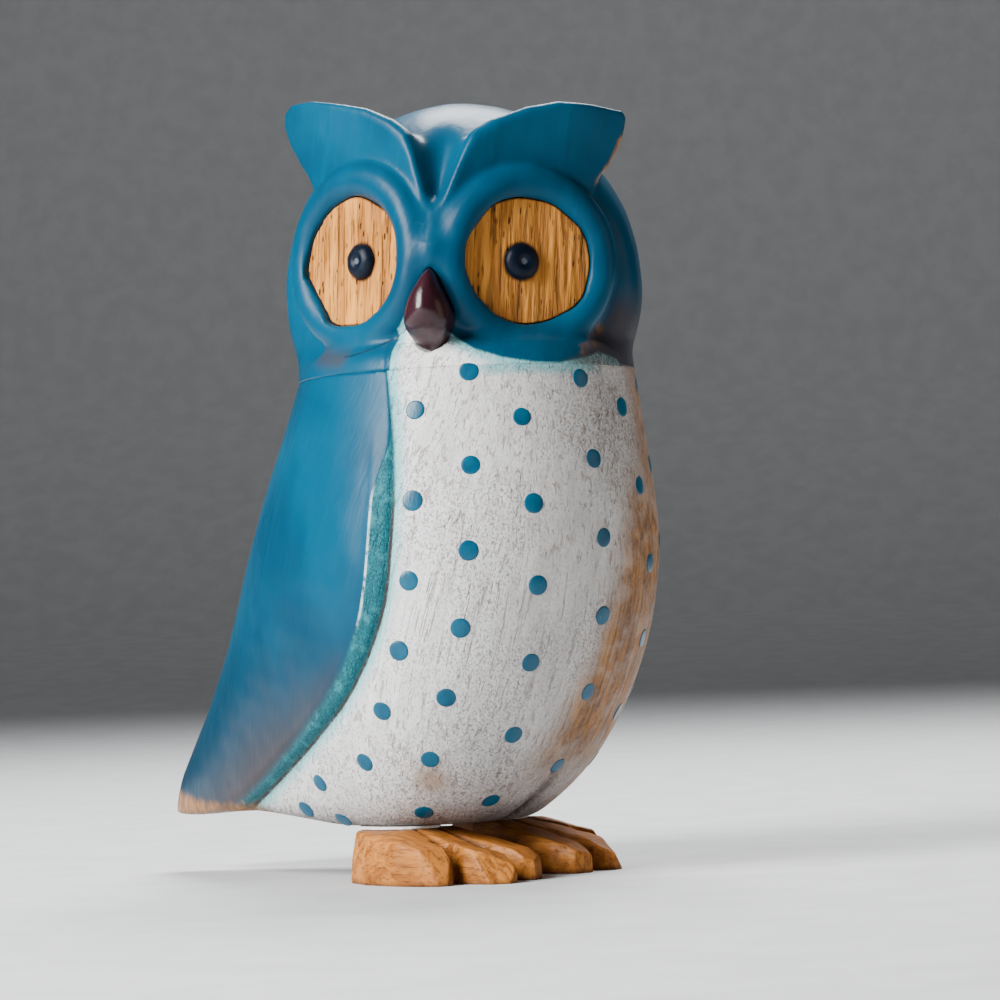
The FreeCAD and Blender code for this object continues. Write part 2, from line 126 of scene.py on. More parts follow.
# ------------------------------------------------------------------ carving tools
def smooth_min(a: Array, b: Array, reach: float) -> Array:
    """Union of two distances with a fillet about reach wide."""
    h = np.clip(0.5 + 0.5 * (b - a) / reach, 0.0, 1.0)
    return b + (a - b) * h - reach * h * (1.0 - h)


def smooth_max(a: Array, b: Array, reach: float) -> Array:
    """Intersection of two distances with an edge rounded about reach wide."""
    return -smooth_min(-a, -b, reach)


def step_up(value: Array, low: float, high: float) -> Array:
    """Smooth rise from 0 at low to 1 at high."""
    t = np.clip((value - low) / (high - low), 0.0, 1.0)
    return t * t * (3.0 - 2.0 * t)


def spot(points: Array, centre: Triple, reach: float) -> Array:
    """Soft round patch: 1 at centre, fading over reach."""
    away = ((points - np.array(centre)) ** 2).sum(1)
    return np.exp(-away / (reach * reach))


def unevenness(points: Array, size: float, seed: int) -> Array:
    """Gentle waves in the range -1 to 1 that a hand-held knife leaves.

    Args:
        points: places to look up, in millimetres.
        size: rough length of one wave, in millimetres.
        seed: picks the waves' directions.

    Returns:
        One value for each point.
    """
    rng = np.random.default_rng(seed)
    total = np.zeros(len(points))
    for _ in range(6):
        direction = rng.normal(size=3)
        direction *= math.tau / (size * rng.uniform(0.7, 1.6)) / np.linalg.norm(direction)
        total += np.sin(points @ direction + rng.uniform(0.0, math.tau))
    return total / 4.0


def natural_spline(knots: Array, values: Array, at: Array) -> Array:
    """Natural cubic spline through a few knots, held level past its ends."""
    n = len(knots)
    gap = np.diff(knots)
    rise = np.diff(values) / gap
    system = np.eye(n)
    right = np.zeros(n)
    for i in range(1, n - 1):
        system[i, i - 1:i + 2] = gap[i - 1], 2.0 * (gap[i - 1] + gap[i]), gap[i]
        right[i] = 6.0 * (rise[i] - rise[i - 1])
    bend = np.linalg.solve(system, right)
    at = np.clip(at, knots[0], knots[-1])
    i = np.clip(np.searchsorted(knots, at) - 1, 0, n - 2)
    a, b = (knots[i + 1] - at) / gap[i], (at - knots[i]) / gap[i]
    curve = ((a ** 3 - a) * bend[i] + (b ** 3 - b) * bend[i + 1]) * gap[i] ** 2 / 6.0
    return a * values[i] + b * values[i + 1] + curve


def outline_distance(u: Array, v: Array, outline: Array) -> Array:
    """Signed distance to a closed outline in a plane, below zero inside it."""
    nearest = np.full(u.shape, 1e9)
    inside = np.zeros(u.shape, bool)
    for (u0, v0), (u1, v1) in zip(outline, np.roll(outline, -1, axis=0)):
        du, dv = u1 - u0, v1 - v0
        t = np.clip(((u - u0) * du + (v - v0) * dv) / (du * du + dv * dv), 0.0, 1.0)
        nearest = np.minimum(nearest, (u - u0 - t * du) ** 2 + (v - v0 - t * dv) ** 2)
        crosses = (v0 > v) != (v1 > v)
        with np.errstate(divide="ignore", invalid="ignore"):
            inside ^= crosses & (u < u0 + (v - v0) * du / (dv if dv else 1e-12))
    return np.where(inside, -1.0, 1.0) * np.sqrt(nearest)


def upright_hole(points: Array, x: float, y: float, radius: float, low: float, high: float) -> Array:
    """Distance to an upright drilled hole, below zero in it."""
    round_part = np.hypot(points[:, 0] - x, points[:, 1] - y) - radius
    return np.maximum(round_part, np.maximum(low - points[:, 2], points[:, 2] - high))


def ring_faces(rows: int, spokes: int, closed: bool) -> Array:
    """Quads between rows of points, where each row is a ring and closed joins the last to the first."""
    this = np.arange(spokes)
    following = (this + 1) % spokes
    faces = []
    for row in range(rows if closed else rows - 1):
        upper = (row + 1) % rows * spokes
        lower = row * spokes
        faces.append(np.stack([lower + this, upper + this, upper + following, lower + following], 1))
    return np.concatenate(faces)


@dataclass
class Skin:
    """Quads over a carved solid."""

    points: Array
    faces: Array

    @staticmethod
    def over(solid: Field, low: Array, high: Array, step: float, settles: int = 2) -> "Skin":
        """Skins a solid with one vertex in each grid cell that its surface crosses.

        Args:
            solid: signed distance of each point, below zero inside.
            low: lowest corner of the space looked at, in millimetres.
            high: highest corner of that space.
            step: size of a grid cell.
            settles: how often the vertices are drawn onto the exact surface.

        Returns:
            The skin, with its faces pointing out.
        """
        low, high = np.asarray(low, float), np.asarray(high, float)
        count = np.ceil((high - low) / step).astype(int) + 1
        axes = [low[i] + step * np.arange(count[i]) for i in range(3)]
        value = np.empty(count)
        for start in range(0, count[0], 12):
            some = axes[0][start:start + 12]
            grid = np.stack(np.meshgrid(some, axes[1], axes[2], indexing="ij"), -1)
            value[start:start + 12] = solid(grid.reshape(-1, 3)).reshape(grid.shape[:3])
        inside = value < 0.0
        cells = tuple(count - 1)
        total = np.zeros(cells, np.int8)
        shifts = [(i, j, k) for i in (0, 1) for j in (0, 1) for k in (0, 1)]
        for shift in shifts:
            total += inside[tuple(slice(s, s + c) for s, c in zip(shift, cells))]
        mixed = (total > 0) & (total < 8)
        where = np.argwhere(mixed)
        number = np.full(cells, -1)
        number[mixed] = np.arange(len(where))
        place, crossings = np.zeros((len(where), 3)), np.zeros(len(where))
        for a in shifts:
            for axis in range(3):
                if a[axis]:
                    continue
                b = tuple(1 if i == axis else a[i] for i in range(3))
                at_a, at_b = where + np.array(a), where + np.array(b)
                va, vb = value[tuple(at_a.T)], value[tuple(at_b.T)]
                crossed = (va < 0.0) != (vb < 0.0)
                share = np.where(crossed, va / np.where(va == vb, 1.0, va - vb), 0.0)
                place += crossed[:, None] * (np.array(a) + share[:, None] * (np.array(b) - a))
                crossings += crossed
        points = low + step * (where + place / crossings[:, None])
        faces = []
        for axis in range(3):
            one, two = (axis + 1) % 3, (axis + 2) % 3
            first = inside[tuple(slice(0, -1) if i == axis else slice(1, -1) for i in range(3))]
            last = inside[tuple(slice(1, None) if i == axis else slice(1, -1) for i in range(3))]
            for outward, crossed in ((True, first & ~last), (False, last & ~first)):
                edge = np.argwhere(crossed)
                edge += np.array([0 if i == axis else 1 for i in range(3)])
                corners = []
                for d1, d2 in ((-1, -1), (0, -1), (0, 0), (-1, 0)):
                    cell = edge.copy()
                    cell[:, one] += d1
                    cell[:, two] += d2
                    corners.append(number[tuple(cell.T)])
                quad = np.stack(corners, 1)
                faces.append(quad if outward else quad[:, ::-1])
        skin = Skin(points, np.concatenate(faces))
        for _ in range(settles):
            skin.settle(solid, step)
        return skin

    def settle(self, solid: Field, step: float) -> None:
        """Draws each vertex along the slope of the field onto its surface."""
        slope = np.empty_like(self.points)
        for i in range(3):
            nudge = np.zeros(3)
            nudge[i] = step * 0.25
            slope[:, i] = solid(self.points + nudge) - solid(self.points - nudge)
        slope /= step * 0.5
        steepness = np.maximum((slope ** 2).sum(1), 0.05)
        move = slope * (solid(self.points) / steepness)[:, None]
        length = np.linalg.norm(move, axis=1, keepdims=True)
        self.points -= move * np.minimum(1.0, 0.5 * step / np.maximum(length, 1e-9))

    def sharpen_cut(self, level: float, shape: Field, step: float) -> None:
        """Draws the rim of a flat sawn cut out to the shape's edge.

        Args:
            level: height of the cut.
            shape: signed distance of the shape before it was cut.
            step: size of the grid's cells.
        """
        near = np.abs(self.points[:, 2] - level) < 0.45 * step
        self.points[near, 2] = level
        rim = np.flatnonzero(near)
        rim = rim[np.abs(shape(self.points[rim])) < 0.75 * step]
        for _ in range(3):
            here = self.points[rim]
            value, slope = shape(here), np.zeros((len(rim), 2))
            for i in range(2):
                nudge = np.zeros(3)
                nudge[i] = 0.1
                slope[:, i] = (shape(here + nudge) - shape(here - nudge)) / 0.2
            size = np.maximum((slope ** 2).sum(1), 0.05)
            self.points[rim, :2] -= slope * (value / size)[:, None]


@dataclass
class Workshop:
    """Makes finished objects, fits them to the frame and reports them."""

    figure: Figure

    def mesh_piece(
        self, name: str, skin: Skin, material: bpy.types.Material,
        replaced: tuple[str, ...] = (), marks: dict[str, Array] | None = None,
    ) -> bpy.types.Object:
        """Turns a skin into a finished piece.

        Args:
            name: the piece's name.
            skin: its surface, in millimetres about the neck axis.
            material: its finish.
            replaced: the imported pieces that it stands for.
            marks: values stored at each vertex, by name; three columns make a vector.

        Returns:
            The object, riding on the root body.
        """
        mesh = bpy.data.meshes.new(name)
        points = self.figure.placed(skin.points)
        mesh.from_pydata(points.tolist(), [], [list(map(int, face)) for face in skin.faces])
        for mark, values in (marks or {}).items():
            kind = "FLOAT_VECTOR" if values.ndim == 2 else "FLOAT"
            attribute = mesh.attributes.new(mark, kind, "POINT")
            key = "vector" if values.ndim == 2 else "value"
            attribute.data.foreach_set(key, np.asarray(values, np.float32).ravel())
        mesh.validate()
        mesh.update()
        mesh.shade_smooth()
        height = points[skin.faces][:, :, 2]
        sawn = np.ptp(height, axis=1) < 1e-7
        if len(mesh.polygons) == len(sawn):
            mesh.polygons.foreach_set("use_smooth", ~sawn)
        piece = bpy.data.objects.new(name, mesh)
        bpy.context.scene.collection.objects.link(piece)
        return self.finish_piece(piece, material, replaced)

    def finish_piece(
        self, piece: bpy.types.Object, material: bpy.types.Material,
        replaced: tuple[str, ...] = (),
    ) -> bpy.types.Object:
        """Gives a placed object its finish and its body, and reports it."""
        piece.data.materials.clear()
        piece.data.materials.append(material)
        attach(piece, "root")
        if replaced:
            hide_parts(*replaced)
        log.info("%s: %d faces, %s", piece.name, len(piece.data.polygons), material.name)
        return piece


# ------------------------------------------------------------------ finishes
Socket = bpy.types.NodeSocket
Value = Socket | float | tuple | bpy.types.Material


class Nodes:
    """A node tree, with short calls that add and link its nodes."""

    def __init__(self, tree: bpy.types.NodeTree) -> None:
        """Keeps the tree."""
        self.tree = tree

    def node(self, kind: str, inputs: dict[str | int, Value] | None = None, **settings) -> bpy.types.Node:
        """Adds a node, sets it up and feeds its inputs."""
        made = self.tree.nodes.new(kind)
        for key, value in settings.items():
            setattr(made, key, value)
        for key, value in (inputs or {}).items():
            self.feed(made.inputs[key], value)
        return made

    def feed(self, socket: Socket, value: Value) -> None:
        """Links a socket, or sets its constant."""
        if isinstance(value, bpy.types.NodeSocket):
            self.tree.links.new(value, socket)
        elif isinstance(value, tuple) and len(value) == 3 and socket.type == "RGBA":
            socket.default_value = (*value, 1.0)
        else:
            socket.default_value = value


class Shader(Nodes):
    """One material's node tree, with short calls for the patterns it uses."""

    def __init__(self, name: str) -> None:
        """Starts the material with its surface and output nodes."""
        self.material = bpy.data.materials.new(name)
        self.material.use_nodes = True
        super().__init__(self.material.node_tree)
        self.tree.nodes.clear()
        self.surface = self.tree.nodes.new("ShaderNodeBsdfPrincipled")
        output = self.tree.nodes.new("ShaderNodeOutputMaterial")
        self.tree.links.new(self.surface.outputs["BSDF"], output.inputs["Surface"])

    def place(self, scale: Triple, turn: Triple = (0.0, 0.0, 0.0),
              source: Socket | None = None) -> Socket:
        """Object coordinates, turned and then stretched, for a pattern."""
        if source is None:
            source = self.node("ShaderNodeTexCoord").outputs["Object"]
        turned = self.node("ShaderNodeMapping", {"Vector": source, "Rotation": turn})
        return self.node("ShaderNodeMapping", {"Vector": turned.outputs[0], "Scale": scale}).outputs[0]

    def mark(self, name: str, vector: bool = False) -> Socket:
        """A value stored at the vertices."""
        made = self.node("ShaderNodeAttribute", attribute_name=name)
        return made.outputs["Vector" if vector else "Fac"]

    def noise(self, at: Socket, detail: float = 3.0, rough: float = 0.55, twist: float = 0.0) -> Socket:
        """Cloudy pattern in the range 0 to 1."""
        made = self.node("ShaderNodeTexNoise", {
            "Vector": at, "Scale": 1.0, "Detail": detail, "Roughness": rough, "Distortion": twist})
        return made.outputs["Fac"]

    def cells(self, at: Socket, spread: float = 1.0) -> Socket:
        """Distance to the nearest of many scattered points."""
        made = self.node("ShaderNodeTexVoronoi", {"Vector": at, "Scale": 1.0, "Randomness": spread})
        return made.outputs["Distance"]

    def ramp(self, value: Value, low: float, high: float, start: float = 0.0, end: float = 1.0) -> Socket:
        """Smooth change from start to end while value goes from low to high."""
        if low > high:
            low, high, start, end = high, low, end, start
        made = self.node("ShaderNodeMapRange", interpolation_type="SMOOTHSTEP")
        for key, part in zip(("Value", "From Min", "From Max", "To Min", "To Max"),
                             (value, low, high, start, end)):
            self.feed(made.inputs[key], part)
        return made.outputs["Result"]

    def calc(self, operation: str, a: Value, b: Value = 0.0) -> Socket:
        """Arithmetic on one or two values."""
        made = self.node("ShaderNodeMath", operation=operation)
        self.feed(made.inputs[0], a)
        self.feed(made.inputs[1], b)
        return made.outputs[0]

    def times(self, a: Value, b: Value) -> Socket:
        """Product of two values."""
        return self.calc("MULTIPLY", a, b)

    def plus(self, a: Value, b: Value) -> Socket:
        """Sum of two values."""
        return self.calc("ADD", a, b)

    def swing(self, pattern: Value) -> Socket:
        """A pattern of 0 to 1 moved to lie around 0."""
        return self.calc("SUBTRACT", pattern, 0.5)

    def blend(self, share: Value, a: Value, b: Value, mode: str = "MIX") -> Socket:
        """Colour a turning into colour b by a share."""
        made = self.node("ShaderNodeMix", data_type="RGBA", blend_type=mode, clamp_factor=True)
        self.feed(made.inputs["Factor"], share)
        self.feed(made.inputs[6], a)
        self.feed(made.inputs[7], b)
        return made.outputs[2]

    def relief(self, height: Value, depth: float, under: Socket | None = None) -> Socket:
        """Bump of a given depth in metres, over another bump."""
        made = self.node("ShaderNodeBump", {"Height": height, "Distance": depth, "Strength": 1.0})
        if under is not None:
            self.feed(made.inputs["Normal"], under)
        return made.outputs["Normal"]

    def done(self, colour: Value, roughness: Value, normal: Socket | None = None,
             **constants: float | tuple) -> bpy.types.Material:
        """Feeds the surface and returns the material."""
        self.feed(self.surface.inputs["Base Color"], colour)
        self.feed(self.surface.inputs["Roughness"], roughness)
        if normal is not None:
            self.feed(self.surface.inputs["Normal"], normal)
        for key, value in constants.items():
            self.surface.inputs[key.replace("_", " ")].default_value = value
        return self.material


CLEAN_PAINT = {
    "wing": 0.0, "bevel": 0.45, "soft": 1.0, "carved": 0.0, "crest": 0.0, "bare": 0.0, "tan": 0.0,
    "haze": 0.0, "grime": 0.0, "chalk": 0.0, "crack": 9.0,
}


def paint_marks(count: int, **given: Array) -> dict[str, Array]:
    """Every mark that carved paint reads, with those not given left clean."""
    return {name: given.get(name, np.full(count, clean)) for name, clean in CLEAN_PAINT.items()}


@dataclass(frozen=True)
class CarvedPaint:
    """Lacquer, whitewash and rubbed-through wood of the body and the head.

    The marks read at the vertices are: wing, millimetres behind the paint's edge; bevel,
    how wide the thinly brushed band is there; carved and crest, how clear the groove and
    the crest beside that band are; soft, how softly the band ends; bare, rubbed to brown
    wood; tan, painted warm light on the belly's far side together with worn
    patches, both golden brown; haze, brown-grey rubbing and painted shade;
    grime, painted shade in creases, recesses and along low edges; chalk,
    whitish rubbing and painted highlights; crack, millimetres from a crack.
    """

    name: str
    teal: Triple = (0.0, 0.064, 0.124)
    teal_deep: Triple = (0.0, 0.042, 0.086)
    # Near-black teal, painted shade towards the bottom of the wings.
    wax: Triple = (0.0, 0.010, 0.022)
    wash: Triple = (0.06, 0.42, 0.46)
    white: Triple = (0.80, 0.79, 0.775)
    grey: Triple = (0.50, 0.485, 0.47)
    brown: Triple = (0.17, 0.075, 0.028)
    golden: Triple = (0.44, 0.195, 0.042)

    def belly(self, s: Shader, along: Triple) -> tuple[Socket, Socket, Socket]:
        """Streaky whitewash: its colour, its open grain and the bare wood under it."""
        sand = s.noise(s.place((2100.0, 2100.0, 1500.0)), 3.0, 0.7)
        mottle = s.noise(s.place((260.0, 260.0, 260.0)), 5.0, 0.62)
        patch = s.noise(s.place((38.0, 38.0, 38.0)), 3.0, 0.5)
        strands = s.noise(s.place((1300.0, 1300.0, 42.0), along), 3.0, 0.55, 0.6)
        strokes = s.noise(s.place((520.0, 520.0, 34.0), along), 2.0, 0.5, 0.25)
        pores = s.cells(s.place((900.0, 900.0, 90.0), along))
        specks = s.cells(s.place((1500.0, 1500.0, 1500.0)))
        white = s.blend(s.ramp(strokes, 0.36, 0.70, 0.0, 0.42), self.white, self.grey)
        dusty = s.ramp(patch, 0.36, 0.58, 0.35, 1.0)
        white = s.blend(s.times(s.ramp(sand, 0.46, 0.68), dusty), white, (0.30, 0.285, 0.28))
        streak = s.times(s.ramp(strands, 0.545, 0.64), s.ramp(mottle, 0.36, 0.58, 0.15, 1.0))
        white = s.blend(s.times(streak, 0.50), white, (0.26, 0.165, 0.11))
        pore = s.times(s.ramp(pores, 0.17, 0.08), s.ramp(mottle, 0.50, 0.60))
        white = s.blend(s.times(pore, 0.4), white, (0.15, 0.11, 0.09))
        speck = s.times(s.ramp(specks, 0.34, 0.20), s.ramp(patch, 0.40, 0.56))
        white = s.blend(s.times(speck, 0.65), white, (0.22, 0.21, 0.22))
        grain = s.noise(s.place((900.0, 900.0, 60.0), along), 4.0, 0.6, 0.4)
        wood = s.blend(s.ramp(grain, 0.36, 0.66), self.brown, self.golden)
        # Painted warm light and worn patches: golden-brown wood colour laid over the whitewash.
        tan = s.times(s.mark("tan"), s.ramp(mottle, 0.25, 0.60, 0.72, 1.0))
        white = s.blend(tan, white, s.blend(s.times(s.ramp(sand, 0.48, 0.62), 0.16), wood, self.grey))
        relief = s.plus(s.times(sand, 0.7), s.plus(streak, pore))
        return white, relief, wood

    def make(self) -> bpy.types.Material:
        """Builds the material."""
        s = Shader(self.name)
        along = (math.radians(-20.0), 0.0, 0.0)
        white, open_grain, wood = self.belly(s, along)
        wing, bevel = s.mark("wing"), s.mark("bevel")
        fine = s.noise(s.place((2400.0, 2400.0, 2400.0)), 4.0, 0.6)
        mottle = s.noise(s.place((300.0, 300.0, 300.0)), 5.0, 0.62)
        cloud = s.noise(s.place((40.0, 40.0, 40.0)), 3.0, 0.5)
        strokes = s.noise(s.place((600.0, 600.0, 40.0), along), 2.0, 0.5, 0.25)
        # Lacquer, the thin band inside its edge and the wash outside it.
        teal = s.blend(s.ramp(cloud, 0.35, 0.65), self.teal_deep, self.teal)
        teal = s.blend(s.times(s.ramp(strokes, 0.55, 0.75), 0.18), teal, (0.0, 0.088, 0.150))
        # Painted shade: the lacquer darkens towards the bottom.
        height = s.node("ShaderNodeSeparateXYZ", {0: s.place((1.0, 1.0, 1.0))}).outputs["Z"]
        teal = s.blend(s.ramp(height, 0.066, 0.020, 0.0, 0.62), teal, self.wax)
        edge = s.plus(wing, s.times(s.swing(mottle), 1.5))
        wash = s.times(s.ramp(edge, -3.3, -0.2, 0.0, 0.85), s.ramp(fine, 0.30, 0.60, 0.6, 1.0))
        colour = s.blend(wash, white, self.wash)
        thin = s.blend(s.ramp(fine, 0.42, 0.62), (0.0, 0.060, 0.082), (0.0, 0.135, 0.165))
        thin = s.blend(s.times(s.ramp(mottle, 0.50, 0.68), 0.40), thin, (0.05, 0.30, 0.34))
        colour = s.blend(s.ramp(wing, -0.1, 0.5, 0.0, 0.96), colour, thin)
        inner = s.plus(s.calc("SUBTRACT", wing, bevel), s.times(fine, 0.5))
        lacquer = s.ramp(s.calc("DIVIDE", inner, s.mark("soft")), 0.0, 0.5)
        colour = s.blend(lacquer, colour, teal)
        away = s.calc("ABSOLUTE", s.calc("SUBTRACT", wing, 0.15))
        line = s.times(s.ramp(away, 0.34, 0.12), s.mark("carved"))
        colour = s.blend(s.times(line, s.ramp(mottle, 0.3, 0.5, 0.55, 0.95)), colour, (0.05, 0.035, 0.03))
        # Wear, painted shade and painted highlights.
        ragged = s.times(s.plus(s.swing(strokes), s.swing(mottle)), 0.7)
        ragged = s.times(ragged, s.ramp(s.mark("bare"), 0.0, 0.35))
        bare = s.times(s.ramp(s.plus(s.mark("bare"), ragged), 0.15, 0.95), 0.92)
        colour = s.blend(bare, colour, wood)
        # Brown-grey rubbing, and painted shade.
        haze = s.times(s.mark("haze"), s.ramp(fine, 0.32, 0.62, 0.6, 1.0))
        colour = s.blend(haze, colour, (0.058, 0.036, 0.029))
        # Whitish rubbing along the crest and the brows, partly a painted highlight.
        crest = s.calc("ABSOLUTE", s.calc("SUBTRACT", wing, bevel))
        rubbed = s.times(s.ramp(crest, 0.34, 0.08), s.mark("crest"))
        rubbed = s.times(rubbed, s.ramp(mottle, 0.42, 0.56, 0.1, 1.0))
        chalk = s.ramp(s.plus(s.mark("chalk"), s.times(s.swing(mottle), 1.5)), 0.40, 0.85)
        colour = s.blend(s.calc("MAXIMUM", rubbed, s.times(chalk, 0.4)), colour, (0.55, 0.70, 0.74))
        # Painted shade in creases, recesses and along low edges.
        grime = s.times(s.mark("grime"), s.ramp(mottle, 0.25, 0.55, 0.45, 1.0))
        colour = s.blend(grime, colour, (0.06, 0.042, 0.036))
        colour = s.blend(s.ramp(s.mark("crack"), 0.26, 0.10, 0.0, 0.85), colour, (0.01, 0.02, 0.03))
        # Feel of the surface.
        glossy = s.ramp(lacquer, 0.0, 1.0, 0.50, 0.34)
        roughness = s.plus(glossy, s.times(s.swing(mottle), 0.16))
        open_grain = s.times(open_grain, s.ramp(lacquer, 0.0, 1.0, -1.0, -0.05))
        normal = s.relief(open_grain, 0.00016)
        normal = s.relief(cloud, 0.0004, normal)
        normal = s.relief(strokes, 0.00006, normal)
        return s.done(colour, roughness, normal, Specular_IOR_Level=0.14)


@dataclass(frozen=True)
class OiledWood:
    """Clear-finished wood whose grain runs along the third column of its grain mark."""

    name: str
    light: Triple
    dark: Triple
    pore: Triple
    spacing: float = 0.9
    coarse: float = 1.0
    roughness: float = 0.42

    def make(self) -> bpy.types.Material:
        """Builds the material."""
        s = Shader(self.name)
        grain = s.mark("grain", vector=True)
        per = 1000.0 / self.spacing
        bands = s.noise(s.place((per, per * 0.3, per * 0.09), source=grain), 4.0, 0.6, 0.6)
        lines = s.noise(s.place((per * 2.6, per * 1.2, per * 0.16), source=grain), 3.0, 0.6, 0.3)
        holes = s.cells(s.place((per * 1.7, per * 1.7, per * 0.55), source=grain))
        cloud = s.noise(s.place((110.0, 110.0, 60.0), source=grain), 2.0, 0.5)
        colour = s.blend(s.ramp(bands, 0.32, 0.66), self.dark, self.light)
        colour = s.blend(s.ramp(cloud, 0.30, 0.72, 0.0, 0.35), colour, self.dark)
        ridge = s.times(s.ramp(lines, 0.55, 0.66), 0.5)
        colour = s.blend(ridge, colour, self.pore)
        hole = s.times(s.ramp(holes, 0.20, 0.10), s.ramp(bands, 0.60, 0.42))
        colour = s.blend(s.times(hole, 0.85), colour, self.pore)
        # Painted shade where the mark says so, in the pore colour.
        colour = s.blend(s.mark("grime"), colour, self.pore)
        height = s.calc("SUBTRACT", s.times(bands, 1.2), s.plus(hole, ridge))
        normal = s.relief(height, 0.00016 * self.coarse)
        rough = s.plus(s.times(bands, 0.2), self.roughness - 0.1)
        return s.done(colour, rough, normal, Specular_IOR_Level=0.14)


@dataclass(frozen=True)
class GlossLacquer:
    """Thick dark lacquer, rubbed dull and lighter where its rub mark says so; the lighter colour is partly a
    painted highlight.
    """

    name: str
    colour: Triple
    rubbed: Triple
    roughness: float = 0.16
    shine: float = 0.5

    def make(self) -> bpy.types.Material:
        """Builds the material."""
        s = Shader(self.name)
        cloud = s.noise(s.place((420.0, 420.0, 160.0)), 3.0, 0.6)
        scuffs = s.noise(s.place((2400.0, 2400.0, 900.0)), 3.0, 0.6)
        # Rubbed places take the lighter colour, partly as a painted highlight.
        rub = s.ramp(s.plus(s.mark("rub"), s.times(s.swing(scuffs), 0.9)), 0.35, 0.80)
        deep = s.blend(s.ramp(cloud, 0.35, 0.65, 0.0, 0.6), self.colour, tuple(0.55 * c for c in self.colour))
        colour = s.blend(rub, deep, self.rubbed)
        rough = s.plus(s.ramp(rub, 0.0, 1.0, self.roughness, 0.42), s.times(cloud, 0.08))
        normal = s.relief(cloud, 0.00012)
        return s.done(colour, rough, normal, Specular_IOR_Level=self.shine)


@dataclass(frozen=True)
class DriedGlue:
    """Off-white filled glue with a lumpy skin."""

    name: str = "dried_glue"

    def make(self) -> bpy.types.Material:
        """Builds the material."""
        s = Shader(self.name)
        lumps = s.noise(s.place((700.0, 700.0, 700.0)), 3.0, 0.6)
        colour = s.blend(s.ramp(lumps, 0.3, 0.7), (0.66, 0.63, 0.57), (0.86, 0.85, 0.82))
        return s.done(colour, 0.5, s.relief(lumps, 0.0002), Specular_IOR_Level=0.4)


@dataclass(frozen=True)
class DotPaint:
    """Thick teal dots dabbed on the whitewash."""

    name: str = "dot_paint"

    def make(self) -> bpy.types.Material:
        """Builds the material."""
        s = Shader(self.name)
        cloud = s.noise(s.place((300.0, 300.0, 300.0)), 2.0, 0.5)
        fine = s.noise(s.place((1600.0, 1600.0, 500.0)), 3.0, 0.6)
        colour = s.blend(s.ramp(cloud, 0.3, 0.7), (0.0, 0.060, 0.115), (0.0, 0.085, 0.155))
        colour = s.blend(s.ramp(fine, 0.62, 0.78, 0.0, 0.25), colour, (0.20, 0.30, 0.33))
        return s.done(colour, 0.30, s.relief(fine, 0.00005), Specular_IOR_Level=0.32)


@dataclass(frozen=True)
class TurnedWood:
    """Plain wood of the hidden dowels and pins."""

    name: str
    colour: Triple

    def make(self) -> bpy.types.Material:
        """Builds the material."""
        s = Shader(self.name)
        grain = s.noise(s.place((1200.0, 1200.0, 90.0)), 4.0, 0.6, 0.3)
        dark = tuple(0.55 * c for c in self.colour)
        colour = s.blend(s.ramp(grain, 0.35, 0.68), dark, self.colour)
        return s.done(colour, 0.6, s.relief(grain, 0.00006))


